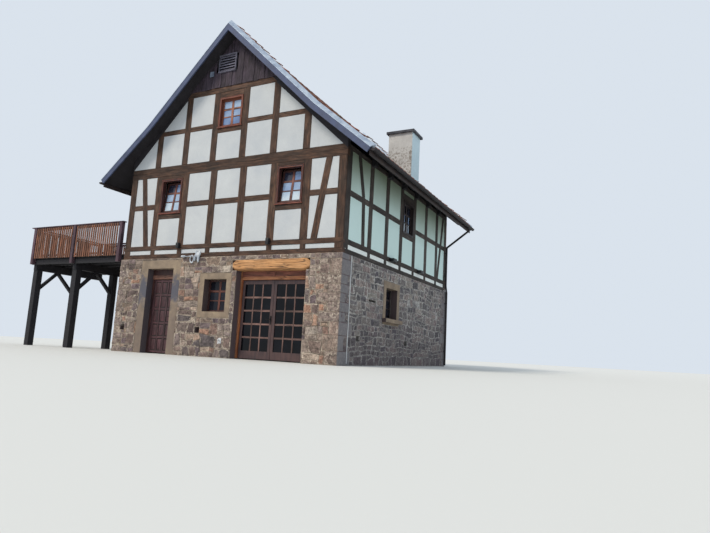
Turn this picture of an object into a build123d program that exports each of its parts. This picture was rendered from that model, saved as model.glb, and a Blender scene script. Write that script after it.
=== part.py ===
from build123d import *
import math
import os

# All sizes in millimetres. X runs along the gable with the ridge at 0, Y from the
# front gable to the back, Z up from the ground. The front gable faces -Y.

# House body
house_width = 7700
house_depth = 8420
wall_mid_x = 119
wall_thick = 180
timber_deep = 140
stone_thick = 500
stone_proud = 40

# Levels, each built on the one below it
slab_top = 20
stone_top = 2800
sole_top = stone_top + 140
sill_low = sole_top + 120
sill_top = sill_low + 140
rail_over_sill = 1140
rail_low = sill_top + rail_over_sill
rail_high = 165
rail_top = rail_low + rail_high
girt_low = rail_top + 855
girt_split = girt_low + 160
girt_top = girt_split + 164
side_plate_low = girt_low + 200
side_plate_top = side_plate_low + 140
attic_rail_over_girt = 996
attic_rail_low = girt_top + attic_rail_over_girt
attic_rail_top = attic_rail_low + 158
collar_over_girt = 2096
collar_low = girt_top + collar_over_girt
collar_top = collar_low + 210
floor_drop = 60

# Timber frame
post = 240
stub = 170
front_bays = 7
side_post_first = 1565
side_post_last = 1150
side_post_shift = (0, -6, -17, -18, -19, 0)
side_first_post = 120
side_last_post = 60
attic_pitch = 1077
attic_post = 230
brace_run_top = 405
brace_run_low = 748
brace_wide = 195
side_brace_wide = 185
side_brace = [1170, 1075, 740]
side_brace_far = [965, 410]
infill_recess = 14
girt_step = 12

# Roof: the tile face runs from the eaves over a knee in each slope to the ridge
ridge_over_collar = 1610
knee_in_left = 911
knee_in_right = 850
knee_left_under_collar = 850
knee_right_under_collar = 1080
overhang_left = 909
overhang_right = 853
eave_under_plate = 360
verge_over = 405
cover_thick = 90
tail_deep = 130
rafter_wide = 110
rafter_foot_left = 339
rafter_foot_right = 358
rafter_bend_x = 1550
rafter_bend = 86
rafter_head = 270
fascia_set = 60
fascia_high = 120
fascia_thick = 28
fascia_end = 45
gutter_r = 66
gutter_wall = 6
gutter_under_eave = 55
head_out = 115
head_wide = 190
head_high = 214
pipe_r = 38
pipe_off_wall = 70
pipe_from_back = 130
pipe_spout = 39
pipe_straight = 70
pipe_swan = 700
bracket_wide = 24
bracket_high = 30
ridge_r = 120
ridge_shell = 18
ridge_sink = 30

# Verge boards stand a little off the tile face; a sloping strip covers them
verge_rise_ridge = 90
verge_rise_knee_right = 8
verge_drop_knee_left = 46
verge_drop_eave_left = 6
verge_drop_eave_right = 31
barge_deep = 155
barge_thick = 40
strip_nose = 10
strip_lip = 4
strip_rise = 110
strip_run = 122
strip_top = 58
strip_back = 30
strip_bed = 90

# Chimney
chimney_x = 3110
chimney_y = 1660
chimney_wide = 900
chimney_long = 760
chimney_over_roof = 1440
chimney_cap = 85
chimney_cap_over = 75

# Left door
ldoor_x0 = -2575
ldoor_wide = 1013
ldoor_x1 = ldoor_x0 + ldoor_wide
ldoor_top = 2495
ldoor_jamb = 265
ldoor_lintel = 245
ldoor_leaf_top = ldoor_top - 305
surround_proud = 6

# Double door
ddoor_x0 = 752
ddoor_wide = 2229
ddoor_x1 = ddoor_x0 + ddoor_wide
ddoor_top = 2390
ddoor_leaf_top = ddoor_top - 245
lintel_bear_l = 160
lintel_bear_r = 100
lintel_high = 287
lintel_proud = 45
lintel_round = 30

# Small front window and side window of the stone storey
swin_x0 = -355
swin_x1 = swin_x0 + 789
swin_z0 = 1250
swin_z1 = swin_z0 + 912
swin_border = 165
swin_proud = 8
gwin_y0 = 2765
gwin_y1 = gwin_y0 + 835
gwin_z0 = 1376
gwin_z1 = gwin_z0 + 887
gwin_border = 190
gwin_sill_over = 130
gwin_sill_drop = 130
gwin_sill_high = 110
gwin_sill_long = 30
border_deep = 200

# Small square openings and one slot through the face of the stone walls
vent_deep = 160
front_vents = [(231, 655), (3186, 650)]
front_vent_size = (170, 160)
side_vents = [(950, 630), (4330, 620)]
side_vent_size = (215, 150)
slot_place = (1610, 1735)
slot_size = (470, 60)

# Doors and windows in general
door_recess = 215
frame_thick = 80
frame_wide = 65
leaf_thick = 50
leaf_gap = 8
meeting_gap = 10
running_gap = 0.4
hinge_out = 12
hinge_r = 11
pin_r = 6
hinge_high = 45
hinge_leaf = 40
hinge_plate = 6
hinge_heights = (300, 1700)
pane_side = 80
pane_low = 235
pane_top = 110
glass_thick = 8
sash_thick = 45
sash_wide = 55
casing_wide = 55
casing_deep = 120
casing_proud = 12
sash_set = 70
tilt = 7.5
win_rail_low = sill_top + 819
win_low = win_rail_low + 152
win_head = girt_low - 110
side_win_low = win_low - 15
side_win_head = girt_low - 142
side_head_top = girt_low + 90
attic_win_rail = girt_top + 826
attic_win_low = attic_win_rail + 144
attic_win_head = collar_low - 180
front_window_set = 205
side_window_set = 210
fixed_frame_thick = 60
fixed_side_thick = 50

# Gable top
board_thick = 30
board_lap = 45
louvre_x0 = -560
louvre_wide = 640
louvre_over_collar = 410
louvre_high = 560
louvre_frame = 30
louvre_proud = 35
blade_count = 6
blade_deep = 56
blade_thick = 10
blade_lean = 32
flap_x0 = -880
flap_wide = 140
flap_over_collar = 340
flap_high = 160

# Handles
handle_low = 960
handle_high = 220
handle_plate = 44
lever_low = 1080
lever_high = 20
lever_long = 140
lever_out = 50

# Deck at the left side
deck_top = stone_top + 200
deck_depth = 2800
deck_board = 30
deck_joist = 160
deck_joist_wide = 80
deck_joist_count = 6
deck_rim = 45
deck_beam = 240
deck_beam_wide = 160
deck_beam_end = 60
deck_ledger = 100
deck_post = 200
deck_left = -8200
deck_front_row = 180
deck_back_row = 1650
knee_brace_reach = 620
knee_brace_half = 60
rail_post = 120
rail_posts_x = [-3900, -6062, -8080]
end_posts = (deck_depth / 2, deck_depth - rail_post / 2)
rail_high_over_deck = 1035
top_rail_thick = 30
top_rail_wide = 145
top_rail_lap = 15
rail_thick = 40
rail_tall = 70
rail_set = 45
slat_drop = 25
slat_end = 20
slat_pitch = 108
slat_wide = 58
slat_thick = 25

# Lamps, rod, ornament and tap
front_lamp = (90, 110, 170)
front_lamp_low = 20
side_lamp = (150, 260, 100)
side_lamp_low = 10
side_lamps = (3100, 5470)
rod_size = 18
rod_from_front = 450
rod_low = 60
ornament_x = -950
ornament_z = 2780
tap_x = 392
tap_z = 410

# Clearances
free = 10
sash_play = 9

os.makedirs("parts", exist_ok=True)

x_left = wall_mid_x - house_width / 2
x_right = wall_mid_x + house_width / 2
y_front = -house_depth / 2
y_back = house_depth / 2
sx_left = x_left - stone_proud
sx_right = x_right + stone_proud
sy_front = y_front - stone_proud
sy_back = y_back + stone_proud
verge_front = y_front - verge_over
verge_back = y_back + verge_over
eave_left = overhang_left - x_left
eave_right = overhang_right + x_right
eave_top = side_plate_top - eave_under_plate
ridge_top = collar_top + ridge_over_collar
knee_left = -x_left - knee_in_left
knee_right = x_right - knee_in_right
side_pitch = (house_depth - side_post_first - side_post_last) / (len(side_post_shift) - 1)
side_posts = [side_post_first + i * side_pitch + d for i, d in enumerate(side_post_shift)]
front_window_bays = (1, front_bays - 2)
attic_floor_top = girt_top - floor_drop
front_pitch = (house_width - post) / front_bays
front_posts = [x_left + post / 2 + i * front_pitch for i in range(front_bays + 1)]
attic_posts = [attic_pitch * (i - 2.5) for i in range(6)]


def box(x0, x1, y0, y1, z0, z1):
    solid = Box(x1 - x0, y1 - y0, z1 - z0, align=(Align.MIN, Align.MIN, Align.MIN))
    return Pos(x0, y0, z0) * solid


def plate_y(points, y0, y1):
    face = make_face(Polyline([(x, y0, z) for x, z in points], close=True))
    return extrude(face, amount=y1 - y0, dir=(0, 1, 0))


def plate_x(points, x0, x1):
    face = make_face(Polyline([(x0, y, z) for y, z in points], close=True))
    return extrude(face, amount=x1 - x0, dir=(1, 0, 0))


def merge(pieces):
    whole = Part() + pieces
    return whole


def save(node, shape):
    solids = shape.solids()
    export_step(Compound(solids), "parts/" + node + ".step")
    print(node, len(solids))


def group(pieces):
    return Compound([s for p in pieces for s in p.solids()])


# Roof lines, as lists of points in X and Z from the left eave to the right one

knee_left_z = collar_low - knee_left_under_collar
knee_right_z = collar_low - knee_right_under_collar
roof_points = [(-eave_left, eave_top), (-knee_left, knee_left_z), (0, ridge_top)]
roof_points += [(knee_right, knee_right_z), (eave_right, eave_top)]
verge_points = [(-eave_left, eave_top - verge_drop_eave_left)]
verge_points.append((-knee_left, knee_left_z - verge_drop_knee_left))
verge_points.append((0, ridge_top + verge_rise_ridge))
verge_points.append((knee_right, knee_right_z + verge_rise_knee_right))
verge_points.append((eave_right, eave_top - verge_drop_eave_right))

def crossing(a, b):
    # Where two straight lines meet, each given by two points
    (x1, z1), (x2, z2) = a
    (x3, z3), (x4, z4) = b
    turn = (x1 - x2) * (z3 - z4) - (z1 - z2) * (x3 - x4)
    p = x1 * z2 - z1 * x2
    q = x3 * z4 - z3 * x4
    return (p * (x3 - x4) - (x1 - x2) * q) / turn, (p * (z3 - z4) - (z1 - z2) * q) / turn


def parallel(points, down):
    # The same line moved downwards, square to each of its runs
    runs = []
    for (xa, za), (xb, zb) in zip(points[:-1], points[1:]):
        length = math.hypot(xb - xa, zb - za)
        shift_x = (zb - za) / length * down
        shift_z = (xa - xb) / length * down
        runs.append(((xa + shift_x, za + shift_z), (xb + shift_x, zb + shift_z)))
    moved = [runs[0][0]]
    for a, b in zip(runs[:-1], runs[1:]):
        moved.append(crossing(a, b))
    return moved + [runs[-1][1]]


def level(points, x):
    # Height of a line at x; the end runs go on past their ends
    inside = [i for i in range(1, len(points) - 1) if points[i][0] <= x]
    i = inside[-1] if inside else 0
    (xa, za), (xb, zb) = points[i], points[i + 1]
    return za + (zb - za) * (x - xa) / (xb - xa)


def roof_line(x, down):
    return level(parallel(roof_points, down), x)


def one_side(points, side, end):
    # Points of one slope from its eave to the ridge, cut upright at the eave
    x = side * end
    knee, top = (points[1], points[2]) if side < 0 else (points[3], points[2])
    return [(x, level(points, x)), knee, top]


def roof_band(side, down0, down1, end):
    # Cross-section of one slope between two lines under the tile face
    upper = one_side(parallel(roof_points, down0), side, end)
    lower = one_side(parallel(roof_points, down1), side, end)
    return upper + lower[::-1]


under_cover = cover_thick
under_tails = under_cover + tail_deep


def under_rafter(x, deep):
    return x, roof_line(x, under_cover) - deep


# Underside of the rafters, straight from the plates up
gable_points = [under_rafter(x_left, rafter_foot_left), under_rafter(-rafter_bend_x, rafter_bend)]
gable_points += [under_rafter(0, rafter_head), under_rafter(x_right, rafter_foot_right)]


def eave(side):
    return eave_right if side > 0 else eave_left


def rafter_end(side):
    return eave(side) - fascia_set


def below_roof():
    # Everything below the tile face, as a cutter
    reach = 500
    left = -eave_left - reach
    right = eave_right + reach
    line = [(left, roof_line(left, 0))] + roof_points[1:4] + [(right, roof_line(right, 0))]
    return [(left, 0)] + line + [(right, 0)]


def below_rafters():
    return [(x_left, 0)] + gable_points + [(x_right, 0)]


# Stone storey

def front_vent(i):
    from_left, z = front_vents[i]
    wide, high = front_vent_size
    x = x_left + from_left
    return box(x, x + wide, sy_front - 1, sy_front + vent_deep, z, z + high)


def side_slot(place, size):
    y = y_front + place[0]
    return box(sx_right - vent_deep, sx_right + 1, y, y + size[0], place[1], place[1] + size[1])


def stone_front_left():
    wall = box(sx_left, ldoor_x0 - ldoor_jamb, sy_front, sy_front + stone_thick, 0, stone_top)
    return wall - front_vent(0)


def small_window_hole(border, y0, y1):
    x0 = swin_x0 - border
    x1 = swin_x1 + border
    return box(x0, x1, y0, y1, swin_z0 - border, swin_z1 + border)


def stone_front_middle():
    wall = box(ldoor_x1 + ldoor_jamb, ddoor_x0, sy_front, sy_front + stone_thick, 0, stone_top)
    wall -= small_window_hole(swin_border, sy_front - 1, sy_front + border_deep)
    wall -= small_window_hole(0, sy_front - 1, sy_front + stone_thick + 1)
    wall -= lintel_block(0)
    wall -= front_vent(1)
    return wall


def stone_front_right():
    wall = box(ddoor_x1, sx_right, sy_front, sy_front + stone_thick, 0, stone_top)
    return wall - lintel_block(0)


def lintel_block(proud):
    x0 = ddoor_x0 - lintel_bear_l
    x1 = ddoor_x1 + lintel_bear_r
    return box(x0, x1, sy_front - proud, sy_front + stone_thick, ddoor_top, ddoor_top + lintel_high)


def timber_lintel():
    beam = lintel_block(lintel_proud)
    front = beam.edges().filter_by(Axis.Z).group_by(Axis.Y)[0]
    return fillet(front, lintel_round)


def stone_over_doors():
    x0 = ldoor_x0 - ldoor_jamb
    x1 = ldoor_x1 + ldoor_jamb
    y1 = sy_front + stone_thick
    left = box(x0, x1, sy_front, y1, ldoor_top + ldoor_lintel, stone_top)
    right = box(ddoor_x0, ddoor_x1, sy_front, y1, ddoor_top + lintel_high, stone_top)
    return group([left, right])


def door_surround():
    y0 = sy_front - surround_proud
    y1 = sy_front + stone_thick
    left = box(ldoor_x0 - ldoor_jamb, ldoor_x0, y0, y1, 0, ldoor_top)
    right = box(ldoor_x1, ldoor_x1 + ldoor_jamb, y0, y1, 0, ldoor_top)
    x0 = ldoor_x0 - ldoor_jamb
    x1 = ldoor_x1 + ldoor_jamb
    top = box(x0, x1, y0, y1, ldoor_top, ldoor_top + ldoor_lintel)
    return group([left, right, top])


def small_window_surround():
    outer = small_window_hole(swin_border, sy_front - swin_proud, sy_front + border_deep)
    return outer - small_window_hole(0, sy_front - stone_thick, sy_front + stone_thick)


def side_window_hole(border, x0, x1):
    y0 = y_front + gwin_y0 - border
    y1 = y_front + gwin_y1 + border
    return box(x0, x1, y0, y1, gwin_z0 - border, gwin_z1 + border)


def stone_right():
    x0 = sx_right - stone_thick
    wall = box(x0, sx_right, sy_front + stone_thick, sy_back - stone_thick, 0, stone_top)
    wall -= side_window_hole(gwin_border, sx_right - border_deep, sx_right + 1)
    wall -= side_window_hole(0, x0 - 1, sx_right + 1)
    for place in side_vents:
        wall -= side_slot(place, side_vent_size)
    return wall - side_slot(slot_place, slot_size)


def side_window_surround():
    ring = side_window_hole(gwin_border, sx_right - border_deep, sx_right + swin_proud)
    ring -= side_window_hole(0, sx_right - stone_thick, sx_right + stone_thick)
    y0 = y_front + gwin_y0 - gwin_border - gwin_sill_long
    y1 = y_front + gwin_y1 + gwin_border + gwin_sill_long
    z0 = gwin_z0 - gwin_sill_drop
    sill = box(sx_right, sx_right + gwin_sill_over, y0, y1, z0, z0 + gwin_sill_high)
    return merge([ring, sill])


def stone_left():
    y0 = sy_front + stone_thick
    return box(sx_left, sx_left + stone_thick, y0, sy_back - stone_thick, 0, stone_top)


def stone_back():
    return box(sx_left, sx_right, sy_back - stone_thick, sy_back, 0, stone_top)


def inner_slab(z0, z1, wall_in, y_in):
    return box(sx_left + wall_in, sx_right - wall_in, sy_front + y_in, sy_back - y_in, z0, z1)


# Timber frames

def leaning(x_low, z_low, x_high, z_high, wide):
    half = wide / 2
    return [(x_low - half, z_low), (x_low + half, z_low), (x_high + half, z_high), (x_high - half, z_high)]


def attic_timbers(y0, y1, window):
    pieces = []
    for x in attic_posts:
        pieces.append(box(x - attic_post / 2, x + attic_post / 2, y0, y1, girt_top, collar_low))
    inner = attic_posts[2] + attic_post / 2
    if window:
        pieces.append(box(x_left, inner, y0, y1, attic_rail_low, attic_rail_top))
        pieces.append(box(-inner, x_right, y0, y1, attic_rail_low, attic_rail_top))
        pieces.append(box(inner, -inner, y0, y1, attic_win_rail, attic_win_low))
        pieces.append(box(inner, -inner, y0, y1, attic_win_head, collar_low))
    else:
        pieces.append(box(x_left, x_right, y0, y1, attic_rail_low, attic_rail_top))
    pieces.append(box(x_left, x_right, y0, y1, collar_low, collar_top))
    return pieces


def gable_rafters(y0, y1):
    # The pair of rafters that closes the gable frame, from corner to corner
    cover = parallel(roof_points, under_cover)
    pieces = []
    for side, wall in ((-1, x_left), (1, x_right)):
        upper = [(wall, level(cover, wall)), cover[1] if side < 0 else cover[3], cover[2]]
        lower = gable_points[:3] if side < 0 else gable_points[:1:-1]
        pieces.append(plate_y(upper + lower[::-1], y0, y1))
    return pieces


def gable_frame(y0, y1, out, windows):
    pieces = [box(x_left, x_right, y0, y1, stone_top, sole_top)]
    pieces.append(box(x_left, x_right, y0, y1, sill_low, sill_top))
    pieces.append(box(x_left, x_right, y0, y1, girt_low, girt_split))
    upper0 = y0 + girt_step if out < 0 else y0
    upper1 = y1 if out < 0 else y1 - girt_step
    pieces.append(box(x_left, x_right, upper0, upper1, girt_split, girt_top))
    for i, x in enumerate(front_posts):
        wide = post if i in (0, front_bays) else stub
        pieces.append(box(x - wide / 2, x + wide / 2, y0, y1, sole_top, sill_low))
        pieces.append(box(x - post / 2, x + post / 2, y0, y1, sill_top, girt_low))
    for i in range(front_bays):
        a = front_posts[i] + post / 2
        b = front_posts[i + 1] - post / 2
        if i in windows:
            pieces.append(box(a, b, y0, y1, win_rail_low, win_low))
            pieces.append(box(a, b, y0, y1, win_head, girt_low))
        else:
            pieces.append(box(a, b, y0, y1, rail_low, rail_top))
    for corner, way in ((front_posts[0], 1), (front_posts[-1], -1)):
        low = corner + way * brace_run_low
        high = corner + way * brace_run_top
        pieces.append(plate_y(leaning(low, sill_top, high, girt_low, brace_wide), y0, y1))
    whole = merge(pieces + attic_timbers(y0, y1, len(windows) > 0))
    return whole & plate_y(below_rafters(), y0 - 1, y1 + 1)


def gable_infill(y0, y1, frame, holes, attic_hole):
    # Plaster between the timbers, joined by the inner lining behind them
    low = box(x_left, x_right, y0, y1, stone_top, girt_top)
    high = box(x_left, x_right, y0, y1, girt_top, collar_top)
    panel = (merge([low, high]) & plate_y(below_rafters(), y0, y1)) - frame
    for i in holes:
        a = front_posts[i] + post / 2
        b = front_posts[i + 1] - post / 2
        panel -= box(a, b, y0 - 1, y1 + 1, win_low, win_head)
    if attic_hole:
        inner = -attic_posts[2] - attic_post / 2
        panel -= box(-inner, inner, y0 - 1, y1 + 1, attic_win_low, attic_win_head)
    return biggest(panel)


def biggest(shape):
    # Thin leftovers in corners are dropped
    solids = sorted(shape.solids(), key=lambda s: s.volume)
    return Compound([solids[-1]])


def side_frame(x0, x1, window_bay, door_bay):
    y0 = y_front + wall_thick
    y1 = y_back - wall_thick
    pieces = [box(x0, x1, y0, y1, stone_top, sole_top)]
    pieces.append(box(x0, x1, y0, y1, sill_low, sill_top))
    pieces.append(box(x0, x1, y0, y1, side_plate_low, side_plate_top))
    pieces.append(box(x0, x1, y0, y0 + side_first_post, sole_top, side_plate_low))
    pieces.append(box(x0, x1, y1 - side_last_post, y1, sole_top, side_plate_low))
    for d in side_posts:
        y = y_front + d
        pieces.append(box(x0, x1, y - stub / 2, y + stub / 2, sole_top, sill_low))
        pieces.append(box(x0, x1, y - post / 2, y + post / 2, sill_top, side_plate_low))
    first = wall_thick + side_first_post - post / 2
    last = house_depth - wall_thick - side_last_post + post / 2
    edges = [first] + side_posts + [last]
    for i in range(len(edges) - 1):
        a = y_front + edges[i] + post / 2
        b = y_front + edges[i + 1] - post / 2
        if i == window_bay:
            pieces.append(box(x0, x1, a, b, win_rail_low, side_win_low))
            pieces.append(box(x0, x1, a, b, side_win_head, side_head_top))
        elif i == door_bay:
            pieces.append(box(x0, x1, a, b, side_win_head, side_head_top))
        else:
            pieces.append(box(x0, x1, a, b, rail_low, rail_top))
    bend = list(zip([y_front + d for d in side_brace], (sill_top, rail_top, side_plate_low)))
    half = side_brace_wide / 2
    points = [(y - half, z) for y, z in bend] + [(y + half, z) for y, z in reversed(bend)]
    pieces.append(plate_x(points, x0, x1))
    low, high = side_brace_far
    far = leaning(y_back - low, sill_top, y_back - high, side_plate_low, side_brace_wide)
    pieces.append(plate_x(far, x0, x1))
    return merge(pieces)


def side_bay(i):
    return y_front + side_posts[i] + post / 2, y_front + side_posts[i + 1] - post / 2


def side_infill(x0, x1, frame, window, door):
    y0 = y_front + wall_thick
    y1 = y_back - wall_thick
    panel = box(x0, x1, y0, y1, stone_top, side_plate_low) - frame
    if window:
        a, b = side_bay(2)
        panel -= box(x0 - 1, x1 + 1, a, b, side_win_low, side_win_head)
    if door:
        a, b = side_bay(0)
        panel -= box(x0 - 1, x1 + 1, a, b, sill_top, side_win_head)
    return biggest(panel)


# Gable top

def gable_boards(y0, y1, hole):
    low = collar_top - board_lap
    cover = parallel(roof_points, under_cover)
    base = [(-eave_left, low), (eave_right, low)]
    left = crossing(base, cover[1:3])[0] + 1
    right = crossing(base, cover[2:4])[0] - 1
    face = plate_y([(left, low), (right, low), (cover[2][0], cover[2][1] - 1)], y0, y1)
    if hole:
        face -= box(louvre_x0, louvre_x1, y0 - 1, y1 + 1, louvre_z0, louvre_z1)
    return face


louvre_x1 = louvre_x0 + louvre_wide
louvre_z0 = collar_top + louvre_over_collar
louvre_z1 = louvre_z0 + louvre_high


def louvre_block(grow, y0, y1):
    return box(louvre_x0 - grow, louvre_x1 + grow, y0, y1, louvre_z0 - grow, louvre_z1 + grow)


def louvre(y0, y1):
    w = louvre_frame
    outer = louvre_block(w, y0 - louvre_proud, y0) - louvre_block(-w, y0 - louvre_proud - 1, y0 + 1)
    inner = louvre_block(0, y0, y1) - louvre_block(-w, y0 - 1, y1 + 1)
    pieces = [outer, inner]
    step = (louvre_high - 2 * w) / blade_count
    mid = (louvre_x0 + louvre_x1) / 2
    long = louvre_wide - 2 * w + free
    for i in range(blade_count):
        z = louvre_z0 + w + step * (i + 0.5)
        blade = Box(long, blade_deep, blade_thick)
        pieces.append(Pos(mid, y0 - 2, z) * Rot(-blade_lean, 0, 0) * blade)
    return merge(pieces)


def gable_vents():
    # The louvre in its frame and the small closed vent beside it
    y0 = y_front - board_thick
    z0 = collar_top + flap_over_collar
    flap = box(flap_x0, flap_x0 + flap_wide, y0 - board_thick, y0, z0, z0 + flap_high)
    cover = parallel(roof_points, under_cover)
    area = plate_y([cover[1], cover[2], cover[3]], y0 - stone_thick, y_front + board_thick)
    return group([louvre(y0, y_front) & area, flap])


# Roof pieces

def roof_cover(side):
    # Tiles, battens and boarding as one plain slab
    band = plate_y(roof_band(side, 0, under_cover, eave(side)), verge_front, verge_back)
    if side > 0:
        band -= chimney_hole()
    return band


def chimney_hole():
    x = chimney_wide / 2
    y = chimney_long / 2
    return box(chimney_x - x, chimney_x + x, chimney_y - y, chimney_y + y, girt_top, chimney_top)


chimney_top = roof_line(chimney_x, 0) + chimney_over_roof


def rafter_rows():
    # One rafter over each side post
    return [y_front + d for d in side_posts]


def rafter_shape(side):
    # Straight rafter down to the wall, with a shallower tail out to the eave
    tails = parallel(roof_points, under_tails)
    wall = x_right if side > 0 else x_left
    end = side * rafter_end(side)
    upper = one_side(parallel(roof_points, under_cover), side, rafter_end(side))
    lower = gable_points[:3] if side < 0 else gable_points[:1:-1]
    foot = [(wall, level(tails, wall)), (end, level(tails, end))]
    return upper + lower[::-1] + foot


def rafters(side):
    # The rafters sit with a notch on the wall plate
    shape = rafter_shape(side)
    outer = x_right if side > 0 else x_left
    inner = outer - side * wall_thick
    notch = box(min(inner, outer), max(inner, outer), y_front, y_back, girt_low, side_plate_top)
    pieces = []
    for y in rafter_rows():
        bar = plate_y(shape, y - rafter_wide / 2, y + rafter_wide / 2)
        pieces.append(bar - notch - chimney_hole())
    return group(pieces)


def beam_heads():
    # Ends of the attic floor beams, standing out under the rafter tails
    tails = parallel(roof_points, under_tails)
    pieces = []
    for wall, way in ((x_left, -1), (x_right, 1)):
        low = level(tails, wall) - head_high
        out = wall + way * head_out
        shape = [(wall, low), (out, low), (out, level(tails, out)), (wall, level(tails, wall))]
        for y in rafter_rows():
            pieces.append(plate_y(shape, y - head_wide / 2, y + head_wide / 2))
    return group(pieces)


def barge_pair(y0, y1):
    lower = parallel(verge_points, barge_deep)
    return plate_y(verge_points + lower[::-1], y0, y1)


def verge_strip(board, out, back):
    # Metal strip over the verge boards, sloping up and inwards from a nose in front of them.
    # Its section is swept along the verge line with mitred corners.
    inward = 1 if back > out else -1
    nose = out - inward * strip_nose
    crest = nose + inward * strip_run
    rear = crest + inward * (strip_top + strip_back)
    section = [(nose, strip_lip), (nose, -strip_lip / 2), (crest, -strip_rise)]
    section += [(crest + inward * strip_top, -strip_rise), (rear, -strip_rise / 2), (rear, strip_bed)]
    section += [(back, strip_bed), (back, strip_lip)]
    rails = [[(x, y, z) for x, z in parallel(verge_points, down)] for y, down in section]
    faces = []
    for a, b in zip(rails, rails[1:] + rails[:1]):
        for i in range(len(verge_points) - 1):
            faces.append(Face(Wire.make_polygon([a[i], a[i + 1], b[i + 1], b[i]])))
    for i in (0, -1):
        faces.append(Face(Wire.make_polygon([rail[i] for rail in rails])))
    strip = Solid(Shell(faces))
    wedge = plate_y(below_roof(), verge_front, verge_back)
    return biggest(strip - board - wedge)


def ridge_cap():
    points = []
    centre = ridge_top - ridge_sink
    for i in range(9):
        angle = math.radians(180 * i / 8)
        points.append((ridge_r * math.cos(angle), centre + ridge_r * math.sin(angle)))
    inner = ridge_r - ridge_shell
    for i in range(9):
        angle = math.radians(180 - 180 * i / 8)
        points.append((inner * math.cos(angle), centre + inner * math.sin(angle)))
    inset = strip_run + strip_top + strip_back - strip_nose - barge_thick
    cap = plate_y(points, verge_front + inset, verge_back - inset)
    return cap - plate_y(below_roof(), verge_front, verge_back)


def fascia(side):
    x0 = side * rafter_end(side)
    x1 = side * (rafter_end(side) + fascia_thick)
    top = roof_line(x1, under_cover)
    y0 = verge_front + fascia_end
    return box(min(x0, x1), max(x0, x1), y0, verge_back - fascia_end, top - fascia_high, top)


def gutter_centre(side):
    # The gutter hangs at the edge of the boarding under the tiles
    return side * (eave(side) + gutter_r), eave_top - gutter_under_eave


def gutter(side):
    x, z = gutter_centre(side)
    length = verge_back - verge_front
    ring = Cylinder(gutter_r, length, rotation=(90, 0, 0))
    ring -= Cylinder(gutter_r - gutter_wall, length - 2 * gutter_wall, rotation=(90, 0, 0))
    upper = Box(4 * gutter_r, 2 * length, 4 * gutter_r, align=(Align.CENTER, Align.CENTER, Align.MIN))
    return Pos(x, 0, z) * (ring - upper)


def downpipe():
    # Swan neck from the gutter to the wall, a bend over the stone edge, brackets on both walls
    gx, rim = gutter_centre(1)
    gz = rim - gutter_r - pipe_spout
    wx = x_right + pipe_off_wall
    sx = sx_right + pipe_off_wall
    y = y_back - pipe_from_back
    neck = gz - pipe_swan
    upper_bend = sole_top + pipe_off_wall
    lower_bend = stone_top - pipe_off_wall
    foot = 3 * slab_top
    pts = [(gx, gz), (gx, gz - pipe_straight), (wx, neck), (wx, upper_bend), (sx, lower_bend), (sx, foot)]
    pieces = []
    for (xa, za), (xb, zb) in zip(pts[:-1], pts[1:]):
        length = math.hypot(xb - xa, zb - za)
        turn = math.degrees(math.atan2(xb - xa, zb - za))
        rod = Pos((xa + xb) / 2, y, (za + zb) / 2) * Rot(0, turn, 0) * Cylinder(pipe_r, length)
        pieces.append(rod)
        pieces.append(Pos(xb, y, zb) * Sphere(pipe_r))
    pieces[-1] = Pos(sx, y, foot) * Cylinder(pipe_r, 2 * slab_top)
    places = [(sx, sx_right, 0.2 * lower_bend), (sx, sx_right, 0.85 * lower_bend)]
    for share in (0.25, 0.85):
        places.append((wx, x_right, upper_bend + share * (neck - upper_bend)))
    for x, wall, z in places:
        half = bracket_wide / 2
        pieces.append(box(wall, x, y - half, y + half, z, z + bracket_high))
    return merge(pieces)


# Chimney

def chimney():
    x = chimney_wide / 2
    y = chimney_long / 2
    return box(chimney_x - x, chimney_x + x, chimney_y - y, chimney_y + y, attic_floor_top, chimney_top)


def chimney_cover():
    x = chimney_wide / 2 + chimney_cap_over
    y = chimney_long / 2 + chimney_cap_over
    z0 = chimney_top
    return box(chimney_x - x, chimney_x + x, chimney_y - y, chimney_y + y, z0, z0 + chimney_cap)


# Windows

def ring_xz(x0, x1, z0, z1, wide, y0, y1):
    outer = box(x0, x1, y0, y1, z0, z1)
    return outer - box(x0 + wide, x1 - wide, y0 - 1, y1 + 1, z0 + wide, z1 - wide)


def casing(x0, x1, z0, z1):
    return ring_xz(x0, x1, z0, z1, casing_wide, y_front - casing_proud, y_front + casing_deep)


def sash_pair(x0, x1, z0, z1, lean):
    # Sash ring and its pane, leaning inwards about the lower edge
    ya = y_front + sash_set
    yb = ya + sash_thick
    gap = sash_play if lean > 0 else 0
    ring = ring_xz(x0, x1, z0 + gap, z1 - gap, sash_wide, ya, yb)
    ym = (ya + yb) / 2
    w = sash_wide
    pane = box(x0 + w, x1 - w, ym - glass_thick / 2, ym + glass_thick / 2, z0 + gap + w, z1 - gap - w)
    if lean > 0:
        # A small lift keeps the turned sash off its casing
        turn = Pos(0, yb, z0 + gap) * Rot(-lean, 0, 0) * Pos(0, -yb, -z0 - gap)
        return turn * ring, turn * pane
    return ring, pane


def front_windows():
    places = []
    for i in front_window_bays:
        a = front_posts[i] + post / 2
        b = front_posts[i + 1] - post / 2
        places.append((a, b, win_low, win_head, tilt))
    inner = -attic_posts[2] - attic_post / 2
    places.append((-inner, inner, attic_win_low, attic_win_head, 0))
    return places



def fixed_window_y(x0, x1, z0, z1, y0):
    ring = ring_xz(x0, x1, z0, z1, sash_wide, y0, y0 + fixed_frame_thick)
    w = sash_wide
    half = glass_thick / 2
    mid = y0 + fixed_frame_thick / 2
    return ring, box(x0 + w, x1 - w, mid - half, mid + half, z0 + w, z1 - w)


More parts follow.
